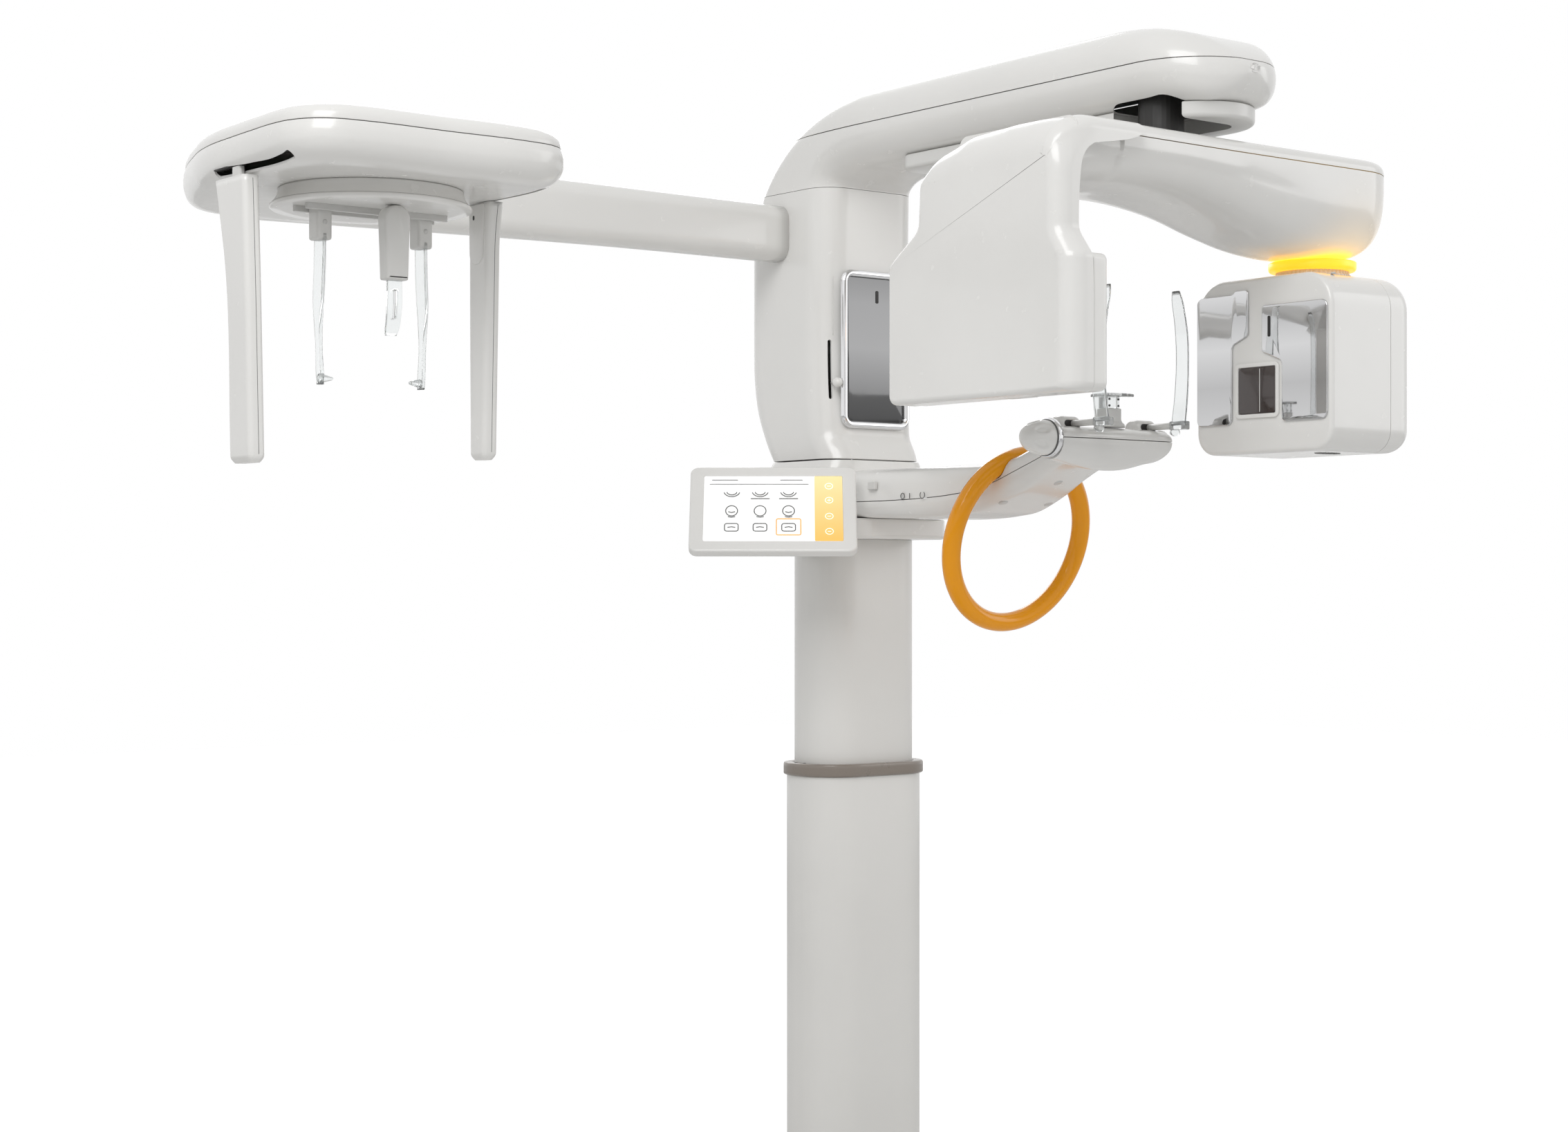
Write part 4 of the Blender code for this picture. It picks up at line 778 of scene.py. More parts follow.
gantryLook = {
    "left": -0.400,
    "detectorSeam": -0.356,
    "wall": 0.003,
    "gap": 0.0006,
    "beamTop": 1.876,
    "beamSeam": 1.856,
    "beamHalf": 0.115,
    "noseReach": 0.1095,
    "width": [(-0.352, 0.128), (-0.28, 0.120), (-0.20, 0.1175), (-0.08, 0.115), (0.30, 0.115)],
    "under": [(-0.352, 1.745), (-0.31, 1.768), (-0.24, 1.781), (-0.16, 1.784), (-0.08, 1.779),
              (0.0, 1.766), (0.08, 1.744), (0.15, 1.729), (0.21, 1.7228), (0.30, 1.722)],
    "axisY": -0.80,
    "neck": (0.30, -0.80, 1.722),
    "edgeRounds": (0.008, 0.022, 0.050),
    "topRound": 0.018,
    "bowlPowers": (0.72, 0.62),
    "crease": 0.046,
    "creaseDepth": 0.0035,
    "latch": ((0.0075, 0.030, 0.0072), (-0.341, -0.80)),
    "teeth": 48,
    "housing": [(-0.565, 1.684, 0.014), (-0.578, 1.696, 0.012), (-0.633, 1.735, 0.025),
                (-0.636, 1.806, 0.030), (-0.659, 1.846, 0.040), (-0.722, 1.869, 0.050),
                (-0.810, 1.874, 0.100), (-0.9365, 1.874, 0.022), (-0.9365, 1.705, 0.030),
                (-0.963, 1.668, 0.020), (-0.963, 1.4745, 0.014), (-0.565, 1.4745, 0.014)],
    "panel": [(-0.5665, 1.672, 0.010), (-0.9615, 1.672, 0.010), (-0.9615, 1.476, 0.012),
              (-0.5665, 1.476, 0.012)],
    "lap": [(1.60, 0), (1.785, 0), (1.80, 0.002), (1.815, 0.008), (1.826, 0.018), (1.834, 0.036),
            (1.840, 0.080), (1.846, 0.104), (1.90, 0.104)],
}


def smoothShare(low, high, value):
    # 0 below low, 1 above high, with level ends between
    t = np.clip((value - low) / (high - low), 0, 1)
    return t * t * (3 - 2 * t)


def makeDetector():
    # outline set in along its normals, and further towards -Y and the top, where the edge is softer
    outline = filleted(gantryLook["housing"], 8, 24)
    sideShare = 1 - smoothShare(-0.963, -0.853, outline[:, 0])
    topShare = 1 - smoothShare(0, 0.085, 1.874 - outline[:, 1])
    edge, softSide, softTop = gantryLook["edgeRounds"]
    extra = np.stack([softSide * sideShare, -softTop * topShare], 1)
    roundDepth = edge + softSide * sideShare + softTop * topShare
    depth = gantryLook["detectorSeam"] - 0.0004 - gantryLook["left"]
    reach = depth + glide(gantryLook["lap"], outline[:, 1])
    rows = [np.column_stack([np.full(len(outline), gantryLook["left"]), inset(outline, 0.0105) + extra])]
    for turn in np.linspace(0, math.pi / 2, 12):
        share = 1 - math.sin(turn)
        x = gantryLook["left"] + roundDepth * (1 - math.cos(turn))
        rows.append(np.column_stack([x, inset(outline, edge * share) + extra * share]))
    for share in np.linspace(1 / 7, 1, 7):
        x = gantryLook["left"] + roundDepth + (reach - roundDepth) * share
        rows.append(np.column_stack([x, outline]))
    shell = piece("detectorOuter", skin("detectorOuter", np.array(rows), capFirst=True), "gantry",
                  shellWhite, ["detector_outer_shell"])
    walled(shell, gantryLook["wall"])

    seam = gantryLook["detectorSeam"]
    panel = filleted(gantryLook["panel"], 8, 7)
    closedPiece("detectorInner", slab(panel, rims(seam + 0.0004, -0.325, 0.0025, 0.008), 0), "gantry",
                shellWhite, ["detector_inner_shell"])
    lining = inset(outline, 0.0035)
    closedPiece("detectorLining", slab(lining, rims(seam - 0.0045, seam - 0.0012, 0.0005), 0), "gantry",
                shellWhite)
    size, place = gantryLook["latch"]
    latch = slab(rectangle(*size, place), rims(1.4752, 1.480, 0.0008))
    closedPiece("detectorLatch", latch, "gantry", lightGrey)
    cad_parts["detector_panel"].data.materials[0] = brushedMetal


def beamSections(x, half, under, step):
    # flat top with small rounds, sides to a crease, then a bowl from side to side
    arc = np.linspace(0, math.pi / 2, 9)
    bowl = np.linspace(0, math.pi, 41)[1:-1]
    top = gantryLook["beamTop"] - step
    across, downward = gantryLook["bowlPowers"]
    rows = []
    for place, reach, low, lowered in zip(x, half, under, top):
        edge = min(gantryLook["topRound"], reach * 0.6)
        side = np.stack([reach - edge * (1 - np.cos(arc)), lowered - edge * (1 - np.sin(arc))], 1)
        drop = lowered - edge - low
        y = reach * np.sign(np.cos(bowl)) * np.abs(np.cos(bowl)) ** across
        z = lowered - edge - drop * np.abs(np.sin(bowl)) ** downward
        below = smoothShare(gantryLook["crease"], gantryLook["crease"] + 0.003, gantryLook["beamTop"] - z)
        y *= 1 - below * gantryLook["creaseDepth"] / gantryLook["beamHalf"] * (
            1 - smoothShare(0.10, 0.20, place))
        lower = np.stack([-y, z], 1)
        flat = [[reach * 0.5, lowered], [0, lowered], [-reach * 0.5, lowered]]
        rows.append(np.concatenate([side, flat, side[::-1] * (-1, 1), lower]))
    centre = np.array([gantryLook["axisY"], 0.0])
    return lay(np.array(rows) + centre, x, 0)


def beamGrid():
    # sections along X, set back where the detector's cover laps over, then a round nose
    x = np.concatenate([np.linspace(-0.3535, -0.254, 10), np.linspace(-0.2495, 0.30, 52)])
    lapped = 1 - smoothShare(-0.2535, -0.2500, x)
    half = glide(gantryLook["width"], x) - 0.0045 * lapped
    under = glide(gantryLook["under"], x)
    turn = np.radians(np.linspace(4, 87, 22))
    noseX = gantryLook["neck"][0] + gantryLook["noseReach"] * np.sin(turn)
    noseHalf = gantryLook["beamHalf"] * np.cos(turn)
    noseUnder = gantryLook["neck"][2] + 0.085 * (1 - np.cos(turn)) ** 1.2
    step = np.concatenate([0.0048 * lapped, np.zeros(len(turn))])
    return beamSections(np.concatenate([x, noseX]), np.concatenate([half, noseHalf]),
                        np.concatenate([under, noseUnder]), step)


def makeBeam():
    # the beam's skin split at the seam, with the light ring and a toothed collar at the neck
    seam, gap, wall = gantryLook["beamSeam"], gantryLook["gap"], gantryLook["wall"]
    grid = beamGrid()
    top = keptSide(capped("beamTop", grid), (0, 0, seam + gap), (0, 0, 1))
    walled(piece("beamTop", top, "gantry", shellWhite, ["beam_top_cover"]), wall)
    under = keptSide(capped("beamUnder", grid), (0, 0, seam - gap), (0, 0, -1))
    # the lower shell carries the neck ring's light as painted amber emission
    walled(piece("beamUnder", under, "gantry", paintedRingLight, ["beam_bottom_cover"]), wall)
    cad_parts["gantry_shaft"].data.materials[0] = slotBlack

    x, y, z = gantryLook["neck"]
    edge = np.linspace(0, math.pi / 2, 8)
    outer = np.stack([0.066 + 0.004 * np.cos(edge), 1.7125 - 0.0055 * np.sin(edge)], 1)
    profile = np.concatenate([[(0.040, z - 0.0006), (0.0690, z - 0.0006), (0.070, z - 0.0016)], outer,
                              [(0.062, 1.7068), (0.040, 1.7070)]])
    ringPiece("neckRing", spun(profile, (x, y, 0), 2, 96), "gantry", amberLight,
              ["neck_light_ring"])
    turn = np.linspace(0, 2 * math.pi, 384, endpoint=False)
    tooth = 0.0602 + 0.0010 * np.clip(2.5 * np.sin(gantryLook["teeth"] * turn), -1, 1)
    teeth = np.stack([x + tooth * np.cos(turn), y + tooth * np.sin(turn)], 1)
    rows = [(0.031, 1.6926), (0.001, 1.6926), (0.0, 1.6936), (0.0, 1.6995), (0.0020, 1.7005),
            (0.0030, 1.7062), (0.031, 1.7062)]
    centre = np.array([x, y])
    flatRows = np.stack([centre + (teeth - centre) * (1 - amount / 0.0612) for amount, _ in rows])
    ringPiece("neckTeeth", lay(flatRows, [height for _, height in rows]), "tube_head", lightGrey,
              ["tube_neck"], 40)


makeDetector()
makeBeam()
print("gantry made")


# Tube head

headLook = {
    "face": 0.185,
    "seam": 0.327,
    "back": 0.385,
    "topCorner": 0.055,
    "footCorner": 0.036,
    "wall": 0.003,
    "gap": 0.0005,
    "window": (-0.7865, 1.512),
    "slot": (-0.8125, 1.612),
    "dot": (0.232, -0.900),
    "vent": (0.272, -0.855),
    "left": [(-0.659, 1.668, 0.010), (-0.735, 1.668, 0.010), (-0.742, 1.6735, 0.004),
             (-0.768, 1.6735, 0.006), (-0.768, 1.600, 0.008), (-0.734, 1.586, 0.010),
             (-0.734, 1.459, 0.010), (-0.659, 1.459, 0.010)],
    "right": [(-0.797, 1.646, 0.006), (-0.930, 1.646, 0.012), (-0.930, 1.460, 0.012),
              (-0.8385, 1.460, 0.008), (-0.8385, 1.556, 0.008), (-0.797, 1.573, 0.008)],
}


def makeHead():
    # rounded oblong housing in two shells, with mirror plates round the dark window, their reflection
    # painted as bands of grey
    low, high = boxOf("tube_front_shell")
    centre = ((low[1] + high[1]) / 2, (low[2] + high[2]) / 2)
    half = ((high[1] - low[1]) / 2, (high[2] - low[2]) / 2)
    left, right = centre[0] - half[0], centre[0] + half[0]
    foot, crown = centre[1] - half[1], centre[1] + half[1]
    outline = filleted([(right, crown, headLook["topCorner"]), (left, crown, headLook["topCorner"]),
                        (left, foot, headLook["footCorner"]), (right, foot, headLook["footCorner"])], 12, 8)
    face, seam, back = headLook["face"], headLook["seam"], headLook["back"]
    gap, wall = headLook["gap"], headLook["wall"]
    turn = np.linspace(0, math.pi / 2, 8)
    edge = np.stack([0.007 * (1 - np.sin(turn)), face + 0.007 * (1 - np.cos(turn))], 1)
    straight = np.stack([np.zeros(6), np.linspace(face + 0.02, seam - gap, 6)], 1)
    rows = np.concatenate([[(0.011, face)], edge, straight])
    front = piece("headFront", skin("headFront", slab(outline, rows, 0), capFirst=True), "tube_head",
                  shellWhite, ["tube_front_shell"])
    walled(front, wall)
    edge = np.stack([0.024 * (1 - np.cos(turn)), back - 0.032 * (1 - np.sin(turn))], 1)
    straight = np.stack([np.zeros(4), np.linspace(seam + gap, back - 0.034, 4)], 1)
    rows = np.concatenate([straight, edge, [(0.028, back)]])
    rear = piece("headRear", skin("headRear", slab(outline, rows, 0), capLast=True), "tube_head", shellWhite,
                 ["tube_rear_shell"])
    walled(rear, wall)

    proud = face - 0.0034
    for name, side, node in (("headMirrorLeft", "left", "tube_mirror_left"),
                             ("headMirrorRight", "right", "tube_mirror_right")):
        plate = filleted(headLook[side], 6, 5)
        closedPiece(name, slab(plate, rims(proud, face - 0.0003, 0.0012, 0.0002), 0), "tube_head",
                    headMirrorPaintedReflection, [node])
    y, z = headLook["window"]
    window = rectangle(0.0385, 0.037, 0.006, (y, z))
    closedPiece("headWindow", slab(window, rims(proud + 0.0008, face - 0.0002, 0.0006, 0.0002), 0),
                "tube_head", windowDark, ["beam_window"])
    bezel = rectangle(0.0455, 0.0440, 0.009, (y, z))
    rim = ringProfile(proud - 0.0002, face - 0.0002, 0.0066, 0.0008)
    ringPiece("windowBezel", slab(bezel, rim, 0), "tube_head", shellWhite)
    line = rectangle(0.0007, 0.0345, 0.0006, (y - 0.006, z), 3, 2)
    closedPiece("windowLine", slab(line, rims(proud + 0.0004, proud + 0.0012, 0.0002), 0), "tube_head",
                panelGrey)
    notch = rectangle(0.0022, 0.0165, 0.0021, headLook["slot"], 5, 3)
    closedPiece("headSlot", slab(notch, rims(face - 0.0046, face - 0.0030, 0.0004), 0), "tube_head",
                slotBlack)
    dot = [(0.0005, 1.6932), (0.0028, 1.6930), (0.0036, 1.6922), (0.0036, 1.6900)]
    closedPiece("headDot", spun(dot, (*headLook["dot"], 0), 2, 20), "tube_head", panelGrey)

    ribs = []
    x, y = headLook["vent"]
    for offset in np.linspace(-0.022, 0.022, 8):
        reach = 0.013 * math.sqrt(max(1 - (offset / 0.027) ** 2, 0.05))
        rib = rectangle(0.0014, reach, 0.0013, (x + offset, y), 3, 2)
        ribs.append(capped("rib", slab(rib, rims(1.4110, 1.4134, 0.0003))))
    piece("headVent", joined("headVent", ribs), "tube_head", darkGrey)
    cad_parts["xray_tube"].data.materials[0] = brushedMetal


# painted reflection: light and darker grey bands by height stand in for what the head's mirror plates
# reflect
headMirrorPaintedReflection = mirrorWithPaintedReflection("headMirrorPaintedReflection", 2, [(1.456, 0.60), (1.52, 0.50), (1.58, 0.66), (1.63, 0.52),
                                             (1.674, 0.70)])
makeHead()
print("tube head made")


# Lower arm, handle, chin support and temple blades

lowerLook = {
    "half": [(-0.083, 0.105), (-0.14, 0.104), (-0.22, 0.100), (-0.30, 0.096), (-0.36, 0.090), (-0.41, 0.083),
             (-0.45, 0.077), (-0.49, 0.072), (-0.53, 0.068), (-0.57, 0.066), (-0.604, 0.066)],
    "bottom": [(-0.083, 1.322), (-0.14, 1.3187), (-0.36, 1.3187), (-0.41, 1.324), (-0.45, 1.336),
               (-0.49, 1.352), (-0.53, 1.372), (-0.57, 1.390), (-0.604, 1.398)],
    "seam": [(-0.083, 1.346), (-0.22, 1.346), (-0.30, 1.348), (-0.36, 1.352), (-0.41, 1.359), (-0.45, 1.370),
             (-0.49, 1.385), (-0.53, 1.400), (-0.57, 1.414), (-0.604, 1.422)],
    "top": [(-0.083, 1.402), (-0.22, 1.401), (-0.36, 1.401), (-0.41, 1.4015), (-0.45, 1.405), (-0.49, 1.414),
            (-0.53, 1.430), (-0.57, 1.446), (-0.604, 1.452)],
    "caps": [(0.0, -0.523), (-0.054, -0.451), (0.047, -0.451)],
    "handleCentre": (0.0, -0.426, 1.278),
    "handleRadius": 0.1425,
    "handleTube": 0.0155,
    "handleTilt": 15.0,
    "chin": (0.0, -0.640, 1.432),
    "rodX": 0.085,
    "wall": 0.004,
    "gap": 0.0006,
    "rocker": (-0.180, 1.372),
    "markRing": (-0.252, 1.3525, 0.0048),
    "markPower": (-0.301, 1.3530, 0.0058),
    "housing": [(-0.130, 0.0300), (-0.122, 0.0335), (-0.110, 0.0350), (-0.05, 0.036), (0.06, 0.036),
                (0.098, 0.0350), (0.112, 0.0300), (0.119, 0.0200)],
    "under": [(-0.130, 0.033), (-0.09, 0.040), (-0.03, 0.047), (0.02, 0.046), (0.07, 0.036), (0.105, 0.027),
              (0.119, 0.016)],
}


def lowerHalf(upper):
    # half sections from +X over to -X along the arm, their corners rounded
    y = np.linspace(-0.0832, -0.6035, 56)
    half, seam = glide(lowerLook["half"], y), glide(lowerLook["seam"], y)
    edge = glide(lowerLook["top" if upper else "bottom"], y)
    side = 1 if upper else -1
    start = seam + side * lowerLook["gap"]
    reach = np.abs(edge - start)
    radius = np.minimum(0.030 if upper else 0.026, reach * 0.9)
    turn = np.linspace(0, math.pi / 2, 10)
    x = half[:, None] - radius[:, None] * (1 - np.cos(turn))
    z = start[:, None] + side * (reach[:, None] - radius[:, None] * (1 - np.sin(turn)))
    inner = (half - radius)[:, None] * np.array([0.6, 0.2])
    flat = np.broadcast_to(edge[:, None], inner.shape)
    right = np.stack([np.concatenate([half[:, None], x, inner], 1),
                      np.concatenate([start[:, None], z, flat], 1)], -1)
    left = right[:, ::-1] * (-1, 1)
    rows = np.concatenate([right, left], 1)
    depth = np.broadcast_to(y[:, None], rows.shape[:2])
    return np.stack([rows[..., 0], depth, rows[..., 1]], -1)


def ringPath(steps):
    # the handle's circle, tipped back about X
    turn = np.linspace(0, 2 * math.pi, steps, endpoint=False)
    tilt = math.radians(90 + lowerLook["handleTilt"])
    across, rise = lowerLook["handleRadius"] * np.cos(turn), lowerLook["handleRadius"] * np.sin(turn)
    local = np.stack([across, rise * math.cos(tilt), rise * math.sin(tilt)], 1)
    return local + np.array(lowerLook["handleCentre"])


def ringTube(radius, steps=120, sides=24):
    # circle carried round the handle's path
    tilt = math.radians(90 + lowerLook["handleTilt"])
    normal = (0, -math.sin(tilt), math.cos(tilt))
    return tubeAlong(ringPath(steps), radius, sides, True, normal)


def underCap(x, y):
    # round cap square to the sloping underside: its axis is the cross of X and the slope
    low, beyond = glide(lowerLook["bottom"], np.array([y, y + 0.001]))
    along = np.array([0, 0.001, beyond - low]) / math.hypot(0.001, beyond - low)
    out = np.array([0, along[2], -along[1]])
    profile = [(0.0006, 0.0005), (0.0072, 0.0004), (0.0080, -0.0002), (0.0080, -0.0030)]
    turned = spun(profile, (0, 0, 0), 2, 28)
    grid = turned[..., :1] * np.array([1.0, 0, 0]) + turned[..., 1:2] * along + turned[..., 2:] * out
    return capped("cap", grid + np.array([x, y, low]))


def lowerCover(name, grid, node):
    # an open half skin as a cover of the lower arm
    return piece(name, skin(name, grid, around=False), "lift", shellWhite, [node])


def makeLowerArm():
    # two half skins cut for the handle's path, then the caps, the rocker, its line marks and the button
    for name, upper, node in (("lowerTop", True, "lower_arm_top_cover"),
                              ("lowerUnder", False, "lower_arm_bottom_cover")):
        path = skin("path", ringTube(lowerLook["handleTube"] + 0.0012, 72, 20), along=True)
        walled(lowerCover(name, lowerHalf(upper), node), lowerLook["wall"], 0.0005, [path])
    ringPiece("handleRing", ringTube(lowerLook["handleTube"]), "lift", amberGloss,
              ["handle_ring"])

    caps = [underCap(x, y) for x, y in lowerLook["caps"]]
    piece("underCaps", joined("underCaps", caps), "lift", panelGrey)

    rocker = rectangle(0.0095, 0.0066, 0.002, lowerLook["rocker"])
    closedPiece("powerRocker", slab(rocker, rims(-0.1099, -0.1034, 0.0012, 0.0004), 0), "power_rocker",
                lightGrey, ["power_switch"])
    thick, sideways = 0.0007, (1, 0, 0)
    y, z, radius = lowerLook["markRing"]
    turn = np.linspace(0, 2 * math.pi, 28, endpoint=False)
    ring = np.stack([np.full(28, -0.1010), y + radius * np.cos(turn), z + radius * np.sin(turn)], 1)
    bar = np.stack([np.full(6, -0.1006), np.full(6, y - 0.0175), np.linspace(1.3480, 1.3570, 6)], 1)
    y, z, radius = lowerLook["markPower"]
    arc = np.linspace(math.radians(-230), math.radians(50), 20)
    power = np.stack([np.full(20, -0.0996), y + radius * np.cos(arc), z + radius * np.sin(arc)], 1)
    marks = [skin("mark", tubeAlong(ring, thick, 6, True, sideways), along=True),
             capped("mark", tubeAlong(bar, thick, 6, False, sideways)),
             capped("mark", tubeAlong(power, thick, 6, False, sideways))]
    piece("switchMarks", joined("switchMarks", marks), "lift", darkGrey)

    low, high = boxOf("emergency_stop")
    y, z = (low[1] + high[1]) / 2, (low[2] + high[2]) / 2
    turn = np.linspace(0, math.pi / 2, 8)
    head = np.stack([0.0140 + 0.0040 * np.cos(turn), high[0] - 0.004 + 0.004 * np.sin(turn)], 1)
    profile = np.concatenate([[(0.0100, low[0]), (0.0100, low[0] + 0.005), (0.0176, low[0] + 0.0055)], head,
                              [(0.0008, high[0])]])
    closedPiece("stopButton", spun(profile, (0, y, z), 0, 40), "stop_button", redButton,
                ["emergency_stop"])


def housingHalf(upper):
    # half turns about the chin's axis, deeper below than above
    x = np.concatenate([np.linspace(-0.130, -0.108, 8), np.linspace(-0.10, 0.09, 20),
                        np.linspace(0.096, 0.119, 10)])
    width = glide(lowerLook["housing"], x)
    depth = width * 0.53 if upper else glide(lowerLook["under"], x)
    turn = np.linspace(0, math.pi, 33)
    y = lowerLook["chin"][1] + width[:, None] * np.cos(turn)
    side = 1 if upper else -1
    z = lowerLook["chin"][2] + side * (lowerLook["gap"] + depth[:, None] * np.sin(turn) ** 0.9)
    return np.stack([np.broadcast_to(x[:, None], y.shape), y, z], -1)


def makeChin():
    # two half turns with humps and slots, a pillar under a toothed tray, and the temples' dimpled dial
    _, y, z = lowerLook["chin"]
    for name, upper, node in (("chinUpper", True, "chin_housing_upper"),
                              ("chinLower", False, "chin_housing_lower")):
        walled(lowerCover(name, housingHalf(upper), node), lowerLook["wall"], 0.0005)
    end = [(0.0004, 0.1180), (0.020, 0.1182), (0.0205, 0.1120), (0.0004, 0.1118)]
    closedPiece("chinEnd", spun(end[::-1], (0, y, z + 0.002), 0, 40, (0.9, 0.9)), "lift", shellWhite)
    for name, side in (("Left", -1), ("Right", 1)):
        x = side * lowerLook["rodX"]
        outline = rectangle(0.0235, 0.0185, 0.013, (x, y + 0.015), 10, 4)
        turn = np.linspace(0, math.pi / 2, 9)
        dome = np.stack([0.010 * (1 - np.cos(turn)), z + 0.0245 + 0.0112 * np.sin(turn)], 1)
        rows = np.concatenate([[(-0.0010, z + 0.008), (-0.0006, z + 0.016)], dome, [(0.0125, z + 0.0357)]])
        closedPiece("chinHump" + name, slab(outline, rows), "lift", shellWhite)
        mouth = rectangle(0.0165, 0.0055, 0.0052, (x, z + 0.024))
        closedPiece("chinSlot" + name, slab(mouth, rims(y - 0.0045, y - 0.0015, 0.0006), 1), "lift",
                    slotBlack)

    foot = [(-0.0062, z + 0.0205), (-0.0052, z + 0.0262), (-0.0020, z + 0.0290), (0.0, z + 0.0330),
            (0.0, z + 0.0500), (0.0008, z + 0.0508)]
    closedPiece("chinPillar", slab(rectangle(0.0165, 0.0125, 0.005, (0, y)), foot), "lift", lightGrey,
                ["chin_pillar"])
    base = z + 0.0512
    post = rectangle(0.0148, 0.0098, 0.004, (0, y))
    tooth = circle(1.0, 120)
    wave = 1 + 0.022 * np.cos(np.linspace(0, 2 * math.pi * 24, 120, endpoint=False))[:, None]
    squared = np.sign(tooth) * np.abs(tooth) ** 0.62
    tray = squared * np.array([0.0315, 0.0272]) * wave + np.array([0, y - 0.006])
    meshes = [capped("post", slab(post, rims(base, base + 0.0185, 0.0008))),
              capped("tray", slab(tray, rims(base + 0.0182, base + 0.0224, 0.0012)))]
    piece("chinRest", joined("chinRest", meshes), "lift", clearAcrylic, ["chin_rest"])
    pins = []
    profile = [(0.0002, y - 0.0106), (0.0018, y - 0.0105), (0.0018, y - 0.0085), (0.0002, y - 0.0084)]
    for x in (-0.0100, 0.0100):
        for height in (base + 0.004, base + 0.0145):
            pins.append(capped("pin", spun(profile, (x, 0, height), 1, 16)))
    piece("chinPins", joined("chinPins", pins), "lift", darkGrey)

    collar = [(0.012, -0.1304), (0.0300, -0.1304), (0.0312, -0.1314), (0.0312, -0.1378), (0.0300, -0.1390),
              (0.012, -0.1391)]
    ringPiece("dialRing", spun(collar, (0, y, z), 0, 64), "temple_dial", chromePlate)
    band = [(0.012, -0.1385), (0.0288, -0.1385), (0.0288, -0.1412), (0.012, -0.1413)]
    ringPiece("dialBand", spun(band, (0, y, z), 0, 64), "temple_dial", darkGrey)
    share = np.linspace(0, 1, 34)
    reach = 0.0276 * np.sqrt(np.clip(1 - share ** 2.3, 0.0004, 1))
    x = -0.1410 - 0.0490 * share
    turn = np.linspace(0, 2 * math.pi, 96, endpoint=False)
    dimple = np.zeros((len(share), len(turn)))
    for spot in np.radians([-150, -90, -30, 30, 90, 150]):
        apart = (turn - spot + math.pi) % (2 * math.pi) - math.pi
        dimple += 1 - smoothShare(0.55, 1.0, np.hypot(apart[None] / 0.36, (share[:, None] - 0.50) / 0.30))
    radius = reach[:, None] * (1 - 0.14 * dimple)
    dome = np.stack([np.broadcast_to(x[:, None], radius.shape), y + radius * np.cos(turn),
                     z + radius * np.sin(turn)], -1)
    closedPiece("templeDial", dome, "temple_dial", shellWhite, ["temple_knob"])


def makeTemples():
    # blades that bow along a cubic curve, each with its clamp, its rod and its tab
    _, y, z = lowerLook["chin"]
    z += 0.024
    rise = np.linspace(0, 1, 30)
    for name, side, node in (("Left", -1, "temple_left_blade"), ("Right", 1, "temple_right_blade")):
        x = side * lowerLook["rodX"]
        out = glide([(0, 0.0), (0.2, 0.006), (0.4, 0.009), (0.7, 0.006), (1, -0.008)], rise)
        back = glide([(0, -0.002), (0.4, -0.002), (0.7, -0.003), (1, -0.004)], rise)
        wide = glide([(0, 0.0150), (0.4, 0.0135), (0.8, 0.0125), (0.95, 0.0105), (1, 0.0075)], rise)
        rows = np.stack([rectangle(0.0021, half, 0.0019, (x + side * o, y - 0.067 + f), 4, 6)
                         for half, o, f in zip(wide, out, back)])
        blade = lay(rows, z + 0.213 * rise)
        clamp = rectangle(0.0108, 0.0155, 0.006, (x, y - 0.0708))
        bar = [(0.0052, y + 0.020), (0.0054, y - 0.056), (0.0048, y - 0.058)]
        meshes = [capped("blade", blade), capped("clamp", slab(clamp, rims(z - 0.0068, z + 0.0068, 0.002)))]
        body = "temple_" + name.lower()
        piece("templeBlade" + name, joined("templeBlade", meshes), body, clearAcrylic,
              [node])
        closedPiece("templeRod" + name, spun(bar, (x, 0, z), 1, 24), body, lightGrey)
        tab = circle(1.0, 28) * np.array([0.0105, 0.0062]) + np.array([x + 0.006, z - 0.010])
        closedPiece("templeTab" + name, slab(tab, rims(y - 0.0575, y - 0.0535, 0.0008), 1), body,
                    clearAcrylic)


makeLowerArm()
makeChin()
makeTemples()
print("lower arm and chin support made")


# Touch screen

screenLook = {
    "centre": (-0.275, -0.120, 1.332),
    "size": (0.282, 0.190, 0.018),
    "display": (0.2350, 0.1470),
    "turn": -38.0,
    "tilt": 40.0,
    "hinge": 0.030,
    "stripStart": 0.070,
    "swivelHalf": 0.029,
}


def screenAxes():
    # the screen's sideways, upward and facing directions from its turn and tilt
    turn, tilt = math.radians(screenLook["turn"]), math.radians(screenLook["tilt"])
    side = np.array([math.cos(turn), math.sin(turn), 0])
    back = np.array([-math.sin(turn), math.cos(turn), 0])
    rise = np.array([0, 0, 1.0])
    return side, back * math.sin(tilt) + rise * math.cos(tilt), rise * math.sin(tilt) - back * math.cos(tilt)


def onScreen(grid):
    # (sideways, up, height over the face) points placed in the world
    side, up, face = screenAxes()
    return np.array(screenLook["centre"]) + grid[..., :1] * side + grid[..., 1:2] * up + grid[..., 2:] * face


def plateOn(outline, low, high, edge=0.0002):
    # a thin plate over the screen's face
    return capped("plate", onScreen(slab(outline, rims(low, high, edge))))


def lineOn(points, thick=0.0008, closed=False):
    # a thin raised line through (sideways, up) points
    path = onScreen(np.column_stack([np.array(points, float), np.full(len(points), -0.0001)]))
    _, _, face = screenAxes()
    grid = tubeAlong(path, thick, 6, closed, face)
    return skin("line", grid, along=closed, capFirst=not closed, capLast=not closed)


def boxLine(u, v, halfU, halfV, radius=0.002):
    # a rounded frame drawn as a line
    return lineOn(rectangle(halfU, halfV, radius, (u, v), 4, 3), closed=True)


